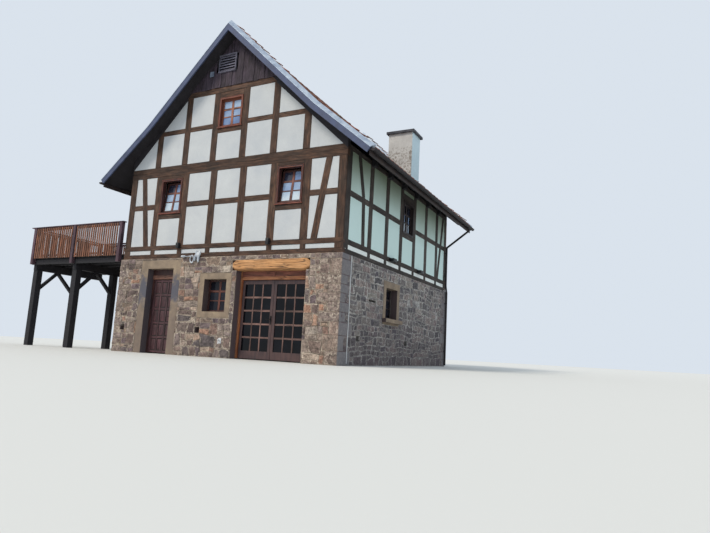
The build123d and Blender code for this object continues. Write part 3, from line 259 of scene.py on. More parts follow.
def makeRubble(name, stops, lime="#b5a795", limed=0.85, sideShadeColour=None, lowShade=None):
    # quarried sandstone left rough: each stone its own shade, lime smeared in from the joints, lichen and fine grit
    material, tree, shader = newMaterial(name, Roughness=0.93, IOR=1.5)
    tone = addNode(tree, "Attribute", attribute_name="tone")
    core = addNode(tree, "Attribute", attribute_name="core")        # 1 in the middle of a stone, 0 along its joint
    place = addNode(tree, "TexCoord")
    base = addNode(tree, "ValToRGB", None, {"Fac": tone.outputs["Fac"]}, stops)
    cloud = addNode(tree, "TexNoise", {"Scale": 9, "Detail": 6, "Roughness": 0.62}, {"Vector": place.outputs["Object"]})        # 110 mm clouds: the stone's own mottling, widened to add painted light and shade of its rough face
    light = addNode(tree, "MapRange", {"From Min": 0.3, "From Max": 0.7, "To Min": 0.44, "To Max": 1.46},
                    {"Value": cloud.outputs["Fac"]})
    shaded = addNode(tree, "VectorMath", None, {0: base.outputs[0], 1: light.outputs[0]}, operation="MULTIPLY")
    grit = addNode(tree, "TexNoise", {"Scale": 70, "Detail": 3, "Roughness": 0.7}, {"Vector": place.outputs["Object"]})        # 14 mm pits, drawn coarse so that they show
    smear = addNode(tree, "TexNoise", {"Scale": 13, "Detail": 5, "Roughness": 0.7}, {"Vector": place.outputs["Object"]})
    ragged = addNode(tree, "Math", {1: 1.1}, {0: smear.outputs["Fac"], 2: core.outputs["Fac"]}, operation="MULTIPLY_ADD")
    rim = addNode(tree, "MapRange", {"From Min": 0.56, "From Max": 0.68, "To Min": 1.0, "To Max": 0.0}, {"Value": ragged.outputs[0]})
    region = addNode(tree, "TexNoise", {"Scale": 1.3, "Detail": 4, "Roughness": 0.6}, {"Vector": place.outputs["Object"]})
    fresh = addNode(tree, "MapRange", {"From Min": 0.36, "From Max": 0.56, "To Min": 0.25, "To Max": 1.0}, {"Value": region.outputs["Fac"]})
    coat = addNode(tree, "Math", None, {0: rim.outputs[0], 1: fresh.outputs[0]}, operation="MULTIPLY")
    share = addNode(tree, "Math", {1: limed}, {0: coat.outputs[0]}, operation="MULTIPLY")
    coated = addNode(tree, "Mix", {7: linear(lime)}, {0: share.outputs[0], 6: shaded.outputs[0]}, data_type="RGBA")
    speck = addNode(tree, "MapRange", {"From Min": 0.35, "From Max": 0.62, "To Min": 0.8, "To Max": 1.12},
                    {"Value": grit.outputs["Fac"]})
    chip = addNode(tree, "TexNoise", {"Scale": 24, "Detail": 4, "Roughness": 0.7}, {"Vector": place.outputs["Object"]})        # 40 mm chips
    dent = addNode(tree, "MapRange", {"From Min": 0.36, "From Max": 0.52, "To Min": 0.5, "To Max": 1.1}, {"Value": chip.outputs["Fac"]})
    chipped = addNode(tree, "VectorMath", None, {0: coated.outputs[2], 1: dent.outputs[0]}, operation="MULTIPLY")
    final = addNode(tree, "VectorMath", None, {0: chipped.outputs[0], 1: speck.outputs[0]}, operation="MULTIPLY")
    colour = final.outputs[0]
    if lowShade:        # darker and pinker near the ground
        parts = addNode(tree, "SeparateXYZ", None, {0: place.outputs["Object"]})
        low = addNode(tree, "MapRange", {"From Min": 0.3, "From Max": 1.7, "To Min": 1, "To Max": 0}, {"Value": parts.outputs["Z"]})
        colour = tint(tree, colour, low.outputs[0], lowShade, 0.45)
    if sideShadeColour:        # painted shade: the faces turned to the right side tinted blue-grey
        colour = tint(tree, colour, facing(tree, "X"), sideShadeColour, 0.8)
    wire(tree, colour, shader.inputs["Base Color"])
    coarse = addNode(tree, "Math", {1: 1.6}, {0: chip.outputs["Fac"], 2: cloud.outputs["Fac"]}, operation="MULTIPLY_ADD")
    height = addNode(tree, "Math", {1: 0.6}, {0: grit.outputs["Fac"], 2: coarse.outputs[0]}, operation="MULTIPLY_ADD")
    bump = addNode(tree, "Bump", {"Strength": 0.85, "Distance": 0.018}, {"Height": height.outputs[0]})
    wire(tree, bump.outputs[0], shader.inputs["Normal"])
    return material


def makeMineral(name, dark, mid, pale, cloudScale=2.4, gritScale=95, bumpDeep=0.003, roughness=0.92):
    # lime mortar, render or sawn stone: soft clouds over a sandy face
    material, tree, shader = newMaterial(name, Roughness=roughness, IOR=1.5)
    place = addNode(tree, "TexCoord")
    cloud = addNode(tree, "TexNoise", {"Scale": cloudScale, "Detail": 7, "Roughness": 0.62}, {"Vector": place.outputs["Object"]})
    base = addNode(tree, "ValToRGB", None, {"Fac": cloud.outputs["Fac"]}, [(0.3, dark), (0.72, pale), (0.52, mid)])
    grit = addNode(tree, "TexNoise", {"Scale": gritScale, "Detail": 3, "Roughness": 0.65}, {"Vector": place.outputs["Object"]})
    speck = addNode(tree, "MapRange", {"From Min": 0.3, "From Max": 0.7, "To Min": 0.88, "To Max": 1.08},
                    {"Value": grit.outputs["Fac"]})
    final = addNode(tree, "VectorMath", None, {0: base.outputs[0], 1: speck.outputs[0]}, operation="MULTIPLY")
    wire(tree, final.outputs[0], shader.inputs["Base Color"])
    bump = addNode(tree, "Bump", {"Strength": 0.6, "Distance": bumpDeep}, {"Height": grit.outputs["Fac"]})
    wire(tree, bump.outputs[0], shader.inputs["Normal"])
    return material, tree, final, shader


def makeJointMortar(name, dark, mid, pale, reveal=None):
    # lime mortar between the rubble: eroded and dark in some parts, freshly pointed and pale in others
    material, tree, final, shader = makeMineral(name, dark, mid, pale, 4.2, 60, 0.008)
    if reveal:        # the faces turned along the front are the plastered reveals of the openings
        sides = addNode(tree, "Math", None, {0: facing(tree, "X"), 1: facing(tree, "X", -0.6, -0.8)}, operation="ADD")
        wire(tree, tint(tree, final.outputs[0], sides.outputs[0], reveal), shader.inputs["Base Color"])
    return material


def makePlaster():
    # lime plaster, floated and whitewashed: faint trowel clouds; painted blue-green shade on the right side, and under
    # its eaves a painted olive shadow with painted green reflection of foliage
    material, tree, final, shader = makeMineral("limewashedPlaster", "#b5babf", "#bdc1c4", "#c4c8ca", 1.6, 120, 0.002, 0.9)
    place = addNode(tree, "TexCoord")
    parts = addNode(tree, "SeparateXYZ", None, {0: place.outputs["Object"]})
    onSide = addNode(tree, "MapRange", {"From Min": xRight - 0.03, "From Max": xRight - 0.02}, {"Value": parts.outputs["X"]})
    # painted shadow under the right side's eaves, darkening towards the top, olive with painted green reflection of
    # foliage
    wave = addNode(tree, "TexNoise", {"Scale": 0.9, "Detail": 3, "Roughness": 0.5}, {"Vector": place.outputs["Object"]})
    uneven = addNode(tree, "Math", {1: 0.7}, {0: wave.outputs["Fac"], 2: parts.outputs["Z"]}, operation="MULTIPLY_ADD")
    rise = addNode(tree, "MapRange", {"From Min": 4.5, "From Max": 6.1, "To Max": 0.9}, {"Value": uneven.outputs[0]})
    eaveShadow = addNode(tree, "Math", None, {0: rise.outputs[0], 1: onSide.outputs[0]}, operation="MULTIPLY")
    low = addNode(tree, "MapRange", {"From Min": 3.06, "From Max": 3.08, "To Min": 1, "To Max": 0}, {"Value": parts.outputs["Z"]})
    # painted shade: the whole right side tinted blue-green
    sideShaded = tint(tree, final.outputs[0], onSide.outputs[0], "#c9e1de")
    strips = addNode(tree, "Math", None, {0: low.outputs[0], 1: onSide.outputs[0]}, operation="MULTIPLY")
    paler = tint(tree, sideShaded, strips.outputs[0], "#e0e6e4")
    wire(tree, tint(tree, paler, eaveShadow.outputs[0], "#69744f"), shader.inputs["Base Color"])
    return material


def makeBorderStone(name, stain=False):
    # sawn sandstone borders: rough beige fronts with painted brown-violet shade on the reveals; the left door's borders
    # have blue-grey damp patches
    material, tree, final, shader = makeMineral(name, "#75685a", "#8a7a69", "#9e8d76", 3.5, 80, 0.004)
    place = addNode(tree, "TexCoord")
    parts = addNode(tree, "SeparateXYZ", None, {0: place.outputs["Object"]})
    onSide = addNode(tree, "MapRange", {"From Min": stoneRight - 0.6, "From Max": stoneRight - 0.5}, {"Value": parts.outputs["X"]})
    sideReveal = addNode(tree, "Math", None, {0: facing(tree, "Y", -0.6, -0.8), 1: onSide.outputs[0]}, operation="MULTIPLY")
    onFront = addNode(tree, "Math", {0: 1.0}, {1: onSide.outputs[0]}, operation="SUBTRACT")
    frontReveal = addNode(tree, "Math", None, {0: facing(tree, "X"), 1: onFront.outputs[0]}, operation="MULTIPLY")
    reveals = addNode(tree, "Math", None, {0: sideReveal.outputs[0], 1: frontReveal.outputs[0]}, operation="ADD")
    colour = final.outputs[0]
    if stain:
        wave = addNode(tree, "TexNoise", {"Scale": 4.5, "Detail": 6, "Roughness": 0.7}, {"Vector": place.outputs["Object"]})
        uneven = addNode(tree, "Math", {1: 1.6}, {0: wave.outputs["Fac"], 2: parts.outputs["Z"]}, operation="MULTIPLY_ADD")
        above = addNode(tree, "MapRange", {"From Min": 2.15, "From Max": 2.45}, {"Value": uneven.outputs[0]})
        below = addNode(tree, "MapRange", {"From Min": 2.86, "From Max": 3.12, "To Min": 1, "To Max": 0}, {"Value": uneven.outputs[0]})
        band = addNode(tree, "Math", None, {0: above.outputs[0], 1: below.outputs[0]}, operation="MULTIPLY")
        low = addNode(tree, "MapRange", {"From Min": 1.6, "From Max": 2.5, "To Min": 0.6, "To Max": 0}, {"Value": uneven.outputs[0]})
        colour = tint(tree, tint(tree, colour, low.outputs[0], "#6d615c"), band.outputs[0], "#4e505d", 0.9)
    # painted shade in the reveals: those turned to the right on the front, and those turned to the front on the right
    # wall
    wire(tree, tint(tree, colour, reveals.outputs[0], "#4a434a" if stain else "#463a3f", 0.9), shader.inputs["Base Color"])
    return material


def makeChimneyRender():
    # old lime render, peeled in patches low on the front and along its right edge, with painted shade on the right
    # side: paler and bluer, lit by the sky alone
    material, tree, final, shader = makeMineral("limeRenderChimney", "#afafad", "#c0c0be", "#cfcfcc", 2.2, 55, 0.006)
    place = addNode(tree, "TexCoord")
    parts = addNode(tree, "SeparateXYZ", None, {0: place.outputs["Object"]})
    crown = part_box("chimney")[1]
    crackle = addNode(tree, "TexNoise", {"Scale": 11, "Detail": 8, "Roughness": 0.8}, {"Vector": place.outputs["Object"]})
    low = addNode(tree, "MapRange", {"From Min": crown[2] - 0.75, "From Max": crown[2] - 0.3, "To Min": 0.07, "To Max": -0.04}, {"Value": parts.outputs["Z"]})
    edge = addNode(tree, "MapRange", {"From Min": crown[0] - 0.12, "From Max": crown[0], "To Max": 0.05}, {"Value": parts.outputs["X"]})
    level = addNode(tree, "Math", None, {0: low.outputs[0], 1: edge.outputs[0]}, operation="ADD")
    raised = addNode(tree, "Math", None, {0: crackle.outputs["Fac"], 1: level.outputs[0]}, operation="ADD")
    peel = addNode(tree, "MapRange", {"From Min": 0.578, "From Max": 0.613, "To Max": 0.9}, {"Value": raised.outputs[0]})
    peeled = tint(tree, final.outputs[0], peel.outputs[0], "#7a736b")
    # painted shade: the faces turned to the right tinted pale blue-white
    wire(tree, tint(tree, peeled, facing(tree, "X"), "#bdd6e0", 0.85), shader.inputs["Base Color"])
    return material


def makeSheet(name, dark, pale, roughness=0.45, metallic=0.6):
    # folded zinc sheet, weathered to a dull bloom with rain marks
    material, tree, shader = newMaterial(name, Roughness=roughness, Metallic=metallic)
    place = addNode(tree, "TexCoord")
    cloud = addNode(tree, "TexNoise", {"Scale": 5.5, "Detail": 6, "Roughness": 0.6}, {"Vector": place.outputs["Object"]})
    base = addNode(tree, "ValToRGB", None, {"Fac": cloud.outputs["Fac"]}, [(0.32, dark), (0.68, pale)])
    wire(tree, base.outputs[0], shader.inputs["Base Color"])
    rough = addNode(tree, "MapRange", {"To Min": roughness - 0.12, "To Max": roughness + 0.2}, {"Value": cloud.outputs["Fac"]})
    wire(tree, rough.outputs[0], shader.inputs["Roughness"])
    bump = addNode(tree, "Bump", {"Strength": 0.15, "Distance": 0.002}, {"Height": cloud.outputs["Fac"]})
    wire(tree, bump.outputs[0], shader.inputs["Normal"])
    return material


def makeGlass(name, stops, roughness, ior, transmission, sheen=0.5):
    # old float glass, slightly wavy; its colour is painted reflection of the pale sky in some panes and painted shade
    # of the dark room behind in others
    material, tree, shader = newMaterial(name, Roughness=roughness, IOR=ior)
    shader.inputs["Transmission Weight"].default_value = transmission
    shader.inputs["Specular IOR Level"].default_value = sheen
    tone = addNode(tree, "Attribute", attribute_name="tone")
    place = addNode(tree, "TexCoord")
    cloud = addNode(tree, "TexNoise", {"Scale": 2.6, "Detail": 3}, {"Vector": place.outputs["Object"]})
    drift = addNode(tree, "MapRange", {"To Min": -0.22, "To Max": 0.22}, {"Value": cloud.outputs["Fac"]})
    level = addNode(tree, "Math", None, {0: tone.outputs["Fac"], 1: drift.outputs[0]}, operation="ADD")
    base = addNode(tree, "ValToRGB", None, {"Fac": level.outputs[0]}, stops)
    wire(tree, base.outputs[0], shader.inputs["Base Color"])
    wave = addNode(tree, "TexNoise", {"Scale": 4.5, "Detail": 1}, {"Vector": place.outputs["Object"]})
    bump = addNode(tree, "Bump", {"Strength": 0.12, "Distance": 0.003}, {"Height": wave.outputs["Fac"]})
    wire(tree, bump.outputs[0], shader.inputs["Normal"])
    return material


def makeTiles():
    # fired clay pantiles, brown-red engobe gone dull, moss in the troughs
    material, tree, shader = newMaterial("firedClayTile", Roughness=0.85, IOR=1.5)
    tone = addNode(tree, "Attribute", attribute_name="tone")
    place = addNode(tree, "TexCoord")
    base = addNode(tree, "ValToRGB", None, {"Fac": tone.outputs["Fac"]},
                   [(0.0, "#673c30"), (1.0, "#94523d"), (0.35, "#7d4838"), (0.7, "#56382f")])
    moss = addNode(tree, "TexNoise", {"Scale": 5, "Detail": 8, "Roughness": 0.72}, {"Vector": place.outputs["Object"]})
    share = addNode(tree, "MapRange", {"From Min": 0.5, "From Max": 0.66, "To Max": 0.8}, {"Value": moss.outputs["Fac"]})
    grown = addNode(tree, "Mix", {7: linear("#55583f")}, {0: share.outputs[0], 6: base.outputs[0]}, data_type="RGBA")
    wire(tree, grown.outputs[2], shader.inputs["Base Color"])
    bump = addNode(tree, "Bump", {"Strength": 0.5, "Distance": 0.006}, {"Height": moss.outputs["Fac"]})
    wire(tree, bump.outputs[0], shader.inputs["Normal"])
    return material


oak = makeTimber("stainedOak", "#251913", "#463126", "#654734", "#57493f", greyShare=0.35)
sideOak = makeTimber("weatheredSideOak", "#1e1917", "#39312d", "#50463f", "#4d4a48", greyShare=0.5)
lintelOak = makeTimber("freshOakLintel", "#6f4829", "#bd8a5a", "#d9aa7a", "#a17a58", 0.78, 0.4, 0.4)
boardSpruce = makeTimber("stainedSpruceBoards", "#1f171d", "#352b36", "#4a3f49", "#453d48", 0.8, 0.35)
slatWood = makeTimber("larchSlats", "#4d3022", "#754a36", "#915f44", "#6f5b52", 0.7, 0.35, 0.6)
deckPostWood = makeTimber("deckPostLarch", "#33222a", "#4b343f", "#60464f", "#58505a", 0.75, 0.4)
# near black with a blue cast: painted shade of the roof's underside, rafters and beam heads
shadedRoofWood = makeFlatWood("roofBoardingInShade", "#18161b", "#2c292e", (2, 30, 30), 0.8)
# nearly black: painted shade under the deck
shadedDeckBeamWood = makeFlatWood("deckBeamSpruceInShade", "#131318", "#232228", (3, 20, 20), 0.8)
joinery = makeFlatWood("stainedJoinery", "#28181a", "#4d2b25", (14, 14, 3), 0.55, "#201b1c")
orangeJoinery = makeFlatWood("larchJoinery", "#7c4529", "#b06a40", (14, 14, 3), 0.55)
# nearly black ground of the left door's leaf: painted shade in the grooves round its coffers
grooveShadeWood = makeFlatWood("doorGrooveOakInShade", "#181012", "#271a1b", (14, 14, 2), 0.7)
leafWood = makeFlatWood("doorLeafOak", "#32252a", "#543e3c", (14, 14, 2), 0.6)
rubbleStone = makeRubble("rubbleSandstone",
                         [(0.0, "#5c4f4c"), (1.0, "#b0a193"), (0.16, "#7d6b64"), (0.34, "#9f9084"),
                          (0.5, "#6b5d61"), (0.66, "#95806f"), (0.8, "#605859"), (0.93, "#a17c68")], lime="#cdc0b0")
# the right wall's stone, greyer and bluer than the front's: painted shade
shadedSideStone = makeRubble("greyRubbleSandstoneInShade",
                       [(0.0, "#565356"), (1.0, "#938d86"), (0.2, "#6f6b6c"), (0.4, "#827b77"),
                        (0.6, "#58545a"), (0.8, "#8a7c79")], lime="#ccc9c4", limed=0.95, lowShade="#4a3d41")
quoinStone = makeRubble("dressedQuoinSandstone",
                        [(0.0, "#74655e"), (1.0, "#9c867b"), (0.35, "#88786f"), (0.6, "#7a6c69"), (0.8, "#8c7b70")],
                        lime="#bdb0a1", sideShadeColour="#75757a")
mortar = makeJointMortar("limeMortar", "#5b5047", "#8d8073", "#cabdab", "#584b4e")
# the right wall's mortar, greyer than the front's: painted shade
shadedSideMortar = makeJointMortar("greyLimeMortarInShade", "#4d4c4c", "#85827e", "#cbc7bf")
borderStone = makeBorderStone("sawnSandstone")
doorStone = makeBorderStone("stainedDoorStone", True)
plaster = makePlaster()
render = makeChimneyRender()
capStone = makeMineral("chimneySlab", "#33353b", "#494b52", "#5d6065", 4, 70, 0.004)[0]
vergeSheet = makeSheet("vergeSheet", "#36405a", "#485372", 0.6, 0.1)
capSheet = makeSheet("zincCapStrip", "#9ba8bb", "#c6d1dc", 0.38, 0.7)
gutterSheet = makeSheet("slatePaintedGutter", "#141115", "#2b2529", 0.65, 0.1)
darkSheet = makeSheet("paintedGutterBoard", "#282124", "#40342f", 0.55, 0.1)
figureSheet = makeSheet("paintedIronFigure", "#868e9b", "#cdd3d8", 0.5, 0.1)
rodSheet = makeSheet("galvanisedRod", "#c2c6c8", "#e0e3e4", 0.5, 0.1)
tapSheet = makeSheet("chromedTap", "#c9ccd0", "#f0f1f2", 0.35, 0.15)
flapSheet = makeSheet("galvanisedFlap", "#667184", "#8b96a8", 0.5, 0.4)
blackMetal = makeSheet("blackPaintedSteel", "#121214", "#25262a", 0.45, 0.2)
handleMetal = makeSheet("wroughtHandle", "#1d1b1b", "#343030", 0.4, 0.8)
# painted reflection: stops from the dark room to the pale sky
paintedSkyStops = [(0.0, "#0e0f15"), (1.0, "#e2edf0"), (0.3, "#3a3d52"), (0.5, "#6d86b2"), (0.75, "#a9bfd6")]
upperGlass = makeGlass("upperWindowGlass", paintedSkyStops, 0.08, 1.6, 0.1)
# painted shade of the dark room behind the door glass, with a little painted sky
lowerGlass = makeGlass("doorGlass", [(0.0, "#08090e"), (1.0, "#475664"), (0.1, "#11121a"), (0.3, "#21222b")], 0.08, 1.45, 0.1, 0.22)
slabStone = makeMineral("floorSlab", "#77716a", "#8d877f", "#9b958c", 3, 60, 0.003)[0]
tileClay = makeTiles()
print("materials made:", len(bpy.data.materials))


# Timbers

timber = {"step": 0.28, "arris": 0.009, "bow": 0.004, "wane": 0.004, "lap": 0.003, "face": 0.0015}
timberDice = random.Random(11)


def addTimber(bm, start, end, wide, deep, outward, proud=0.0, values=timber):
    start, end, outward = Vector(start), Vector(end), Vector(outward)
    along = (end - start).normalized()
    length = (end - start).length + 2 * values["lap"]
    part = bmesh.new()
    grain = part.verts.layers.float_vector.new("grain")
    tone = part.verts.layers.float.new("tone")
    bmesh.ops.create_cube(part, size=1)
    bmesh.ops.scale(part, vec=(length, wide, deep), verts=part.verts)
    longEdges = [e for e in part.edges if abs(e.verts[0].co.x - e.verts[1].co.x) > length / 2]
    cuts = max(1, round(length / values["step"]))
    bmesh.ops.subdivide_edges(part, edges=longEdges, cuts=cuts, use_grid_fill=True)
    corners = [e for e in part.edges if abs(e.verts[0].co.x - e.verts[1].co.x) > 0.4 * length / (cuts + 1)]
    bmesh.ops.bevel(part, geom=corners, offset=values["arris"], offset_type="OFFSET", affect="EDGES",
                    segments=1, profile=0.5, material=-1)
    shift = Vector([timberDice.uniform(0, 60) for _ in range(3)])
    shade = timberDice.random()
    for v in part.verts:
        v[grain] = v.co + shift
        v[tone] = shade
        bow = noise.noise(Vector((v.co.x * 0.8, 0, 0)) + shift) * values["bow"]
        wane = noise.noise(v.co * 3.5 + shift) * values["wane"]
        lift = noise.noise(v.co * 2.5 - shift) * values["face"]
        v.co.y += bow + wane
        v.co.z += lift
    matrix = Matrix((along, outward.cross(along), outward)).transposed().to_4x4()
    matrix.translation = (start + end) / 2 + outward * (proud - deep / 2)
    absorb(bm, part, matrix)


def gableTimbers(bm, y, outward, windowBays, atticWindow):
    deep = wall["deep"]

    def beam(x0, x1, levels, proud=0.0):
        z = (levels[0] + levels[1]) / 2
        addTimber(bm, (x0, y, z), (x1, y, z), levels[1] - levels[0], deep, outward, proud)

    def upright(x, z0, z1, wide, proud=0.0):
        addTimber(bm, (x, y, z0), (x, y, z1), wide, deep, outward, proud)

    beam(xLeft, xRight, wall["sole"])
    beam(xLeft, xRight, wall["sill"], 0.003)
    beam(xLeft, xRight, wall["girt"], 0.001)
    beam(xLeft, xRight, wall["upperGirt"], -0.012)
    for i, x in enumerate(frontPosts):
        wide = wall["post"] if i in (0, wall["bays"]) else wall["stub"]
        upright(x, wall["sole"][1], wall["sill"][0], wide)
        upright(x, wall["sill"][1], wall["girt"][0], wall["post"])
    for i in range(wall["bays"]):
        a = frontPosts[i] + wall["post"] / 2
        b = frontPosts[i + 1] - wall["post"] / 2
        if i in windowBays:
            beam(a, b, wall["windowSill"], -0.002)
            beam(a, b, wall["windowHead"], -0.002)
        else:
            beam(a, b, wall["rail"], -0.004)
    for corner, way in ((frontPosts[0], 1), (frontPosts[-1], -1)):        # corner braces, feet inwards
        foot = (corner + way * wall["braceFoot"], y, wall["sill"][1] - 0.03)
        head = (corner + way * wall["braceTop"], y, wall["girt"][0] + 0.03)
        addTimber(bm, foot, head, wall["brace"], deep, outward, -0.001)
    for i in range(6):
        x = wall["atticPitch"] * (i - 2.5)
        upright(x, wall["upperGirt"][1], min(wall["collar"][0], roofLine(x, 0.05)), wall["atticPost"], -0.004)
    half = wall["atticPitch"] / 2 - wall["atticPost"] / 2
    if atticWindow:
        beam(xLeft, -half, wall["atticRail"], -0.009)
        beam(half, xRight, wall["atticRail"], -0.009)
        beam(-half, half, wall["atticSill"], -0.006)
        beam(-half, half, wall["atticHead"], -0.006)
    else:
        beam(xLeft, xRight, wall["atticRail"], -0.009)
    beam(xLeft, xRight, wall["collar"], 0.001)
    for side in (-1, 1):        # everything ends inside the gable's own pair of rafters
        spot, normal = underRafter(side, 0.04)
        cutAway(bm, spot, normal)


def cutAway(bm, spot, normal):        # removes what lies beyond a plane and closes the cut
    geometry = bm.verts[:] + bm.edges[:] + bm.faces[:]
    cut = bmesh.ops.bisect_plane(bm, geom=geometry, plane_co=spot, plane_no=normal, clear_outer=True)
    rim = [g for g in cut["geom_cut"] if isinstance(g, bmesh.types.BMEdge) and g.is_boundary]
    if rim:
        bmesh.ops.holes_fill(bm, edges=rim, sides=0)


def sideTimbers(bm, x, outward, windowBay, doorBay):
    deep = wall["deep"]
    y0 = yFront + deep
    y1 = yBack - deep

    def beam(a, b, levels, proud=0.0):
        z = (levels[0] + levels[1]) / 2
        addTimber(bm, (x, a, z), (x, b, z), levels[1] - levels[0], deep, outward, proud)

    def upright(y, z0, z1, wide, proud=0.0):
        addTimber(bm, (x, y, z0), (x, y, z1), wide, deep, outward, proud)

    beam(y0, y1, wall["sole"])
    beam(y0, y1, wall["sill"], 0.003)
    beam(y0, y1, wall["sidePlate"], 0.002)
    corners = ((y0, yFront + wall["thick"] + 0.12), (yBack - wall["thick"] - 0.06, y1))
    for (a, b), more in zip(corners, ((-0.11, 0), (0, 0.11))):        # lapped over the gable posts
        upright((a + b + sum(more)) / 2, wall["sole"][1], wall["sidePlate"][0], b - a + 0.11, 0.003)
    posts = [yFront + d for d in wall["sidePosts"]]
    for y in posts:
        upright(y, wall["sole"][1], wall["sill"][0], wall["stub"])
        upright(y, wall["sill"][1], wall["sidePlate"][0], wall["post"])
    edges = [corners[0][1] - wall["post"] / 2] + posts + [corners[1][0] + wall["post"] / 2]
    for i, (a, b) in enumerate(zip(edges[:-1], edges[1:])):
        a += wall["post"] / 2
        b -= wall["post"] / 2
        if i == windowBay:
            beam(a, b, (wall["windowSill"][0], wall["windowSill"][1] - 0.015), -0.003)
            beam(a, b, wall["sideHead"], -0.003)
        elif i == doorBay:
            beam(a, b, wall["sideHead"], -0.003)
        else:
            beam(a, b, wall["rail"], -0.004)
    half = wall["brace"] - 0.01
    bend = [(1.17, wall["sill"][1] - 0.02), (1.075, wall["rail"][1]), (0.74, wall["sidePlate"][0] + 0.02)]        # the grown brace leans twice
    for (ya, za), (yb, zb) in zip(bend[:-1], bend[1:]):
        addTimber(bm, (x, yFront + ya, za), (x, yFront + yb, zb), half, deep, outward, -0.001)
    addTimber(bm, (x, yFront + 7.455, wall["sill"][1] - 0.02), (x, yFront + 8.01, wall["sidePlate"][0] + 0.02), half, deep, outward, -0.001)


def buildFrames():
    bm = bmesh.new()
    gableTimbers(bm, yFront, (0, -1, 0), (1, 5), True)
    finishPiece("front_timbers", bm, oak, replaces=["frame_front"])
    bm = bmesh.new()
    gableTimbers(bm, yBack, (0, 1, 0), (), False)
    finishPiece("back_timbers", bm, oak, replaces=["frame_back"])
    bm = bmesh.new()
    sideTimbers(bm, xRight, (1, 0, 0), 3, None)
    finishPiece("right_timbers", bm, sideOak, replaces=["frame_right"])
    bm = bmesh.new()
    sideTimbers(bm, xLeft, (-1, 0, 0), None, 1)
    finishPiece("left_timbers", bm, sideOak, replaces=["frame_left"])
    print("timber frames built")


buildFrames()


# Rubble masonry

masonry = {
    "course": (0.22, 0.40), "block": (0.24, 0.58), "joint": 0.020, "wander": 0.050, "sway": 0.05, "reach": 1.1,
    "split": 0.62, "least": 0.085, "proud": (0.002, 0.022), "bed": 0.05, "corner": 0.032, "arris": 0.012,
    "dome": (0.004, 0.016), "rough": 0.006, "highest": 0.036, "slant": 0.16,
}
flatter = {        # the right wall: smaller stones, flush, so that the earth rod runs clear over them
    **masonry, "course": (0.13, 0.25), "block": (0.22, 0.68), "joint": 0.018, "split": 0.3, "proud": (0.0, 0.006),
    "dome": (0.001, 0.005), "rough": 0.003, "highest": 0.012, "slant": 0.35, "wander": 0.06, "sway": 0.09,
}


def splitFace(bm, face, spot, normal):        # cuts one stone in two and gives both
    geometry = [face, *face.edges, *face.verts]
    done = bmesh.ops.bisect_plane(bm, geom=geometry, dist=1e-5, plane_co=spot, plane_no=normal)
    return [g for g in done["geom"] if isinstance(g, bmesh.types.BMFace)]


def cutCourses(bm, width, height, dice, values):        # lifts, blocks in them, then stones of unlike height
    lifts = bm.faces[:]
    level = dice.uniform(*values["course"])
    while level < height - values["course"][0] * 0.7:
        top = max(lifts, key=lambda f: f.calc_center_median().y)
        lifts.remove(top)
        lifts += splitFace(bm, top, (0, level, 0), (0, 1, 0))
        level += dice.uniform(*values["course"])
    for lift in lifts:
        rest = lift
        middle = lift.calc_center_median().y
        place = dice.uniform(*values["block"])
        blocks = []
        while place < width - values["block"][0]:
            faces = splitFace(bm, rest, (place, middle, 0), (1, dice.uniform(-1, 1) * values["slant"], 0))
            rest = max(faces, key=lambda f: f.calc_center_median().x)
            blocks.append(min(faces, key=lambda f: f.calc_center_median().x))
            place += dice.uniform(*values["block"])
        for block in blocks + [rest]:
            cutBlock(bm, block, dice, values)


def cutBlock(bm, block, dice, values):
    xs = [v.co.x for v in block.verts]
    ys = [v.co.y for v in block.verts]
    wide, high = max(xs) - min(xs), max(ys) - min(ys)
    if high > 2 * values["least"] and dice.random() < values["split"]:
        level = min(ys) + high * dice.uniform(0.36, 0.64)
        tilt = dice.uniform(-0.8, 0.8) * values["slant"]
        for part in splitFace(bm, block, ((min(xs) + max(xs)) / 2, level, 0), (tilt, 1, 0)):
            if wide > 0.34 and dice.random() < 0.7:
                middle = part.calc_center_median()
                lean = dice.uniform(-1.4, 1.4) * values["slant"]
                splitFace(bm, part, (min(xs) + wide * dice.uniform(0.3, 0.7), middle.y, 0), (1, lean, 0))
    elif wide > 1.5 * high and dice.random() < 0.5:
        lean = dice.uniform(-1.4, 1.4) * values["slant"]
        splitFace(bm, block, (min(xs) + wide * dice.uniform(0.35, 0.65), sum(ys) / len(ys), 0), (1, lean, 0))


def wanderJoints(bm, width, height, dice, values):
    moves = {}
    for v in bm.verts:
        free = min(e.calc_length() for e in v.link_edges)
        reach = min(values["wander"], 0.32 * free)
        inX = 1e-4 < v.co.x < width - 1e-4
        inY = 1e-4 < v.co.y < height - 1e-4
        drift = noise.noise(Vector((v.co.x / values["reach"], v.co.y / values["reach"], width))) * values["sway"]
        moves[v] = Vector((dice.uniform(-reach, reach), dice.uniform(-reach, reach) + drift, 0)) * (inX * inY)
    for v, move in moves.items():
        v.co += move


def clearHole(bm, hole):
    u0, u1, v0, v1 = hole
    planes = [((u0, 0, 0), (1, 0, 0)), ((u1, 0, 0), (1, 0, 0)), ((0, v0, 0), (0, 1, 0)), ((0, v1, 0), (0, 1, 0))]
    for spot, normal in planes:
        near = [f for f in bm.faces if touches(f, hole)]
        geometry = set(near)
        for f in near:
            geometry.update(f.edges)
            geometry.update(f.verts)
        if geometry:
            bmesh.ops.bisect_plane(bm, geom=list(geometry), dist=1e-5, plane_co=spot, plane_no=normal)
    inside = []
    for f in bm.faces:
        c = f.calc_center_median()
        if u0 < c.x < u1 and v0 < c.y < v1:
            inside.append(f)
    bmesh.ops.delete(bm, geom=inside, context="FACES")


def touches(face, hole):
    xs = [v.co.x for v in face.verts]
    ys = [v.co.y for v in face.verts]
    return max(xs) > hole[0] and min(xs) < hole[1] and max(ys) > hole[2] and min(ys) < hole[3]


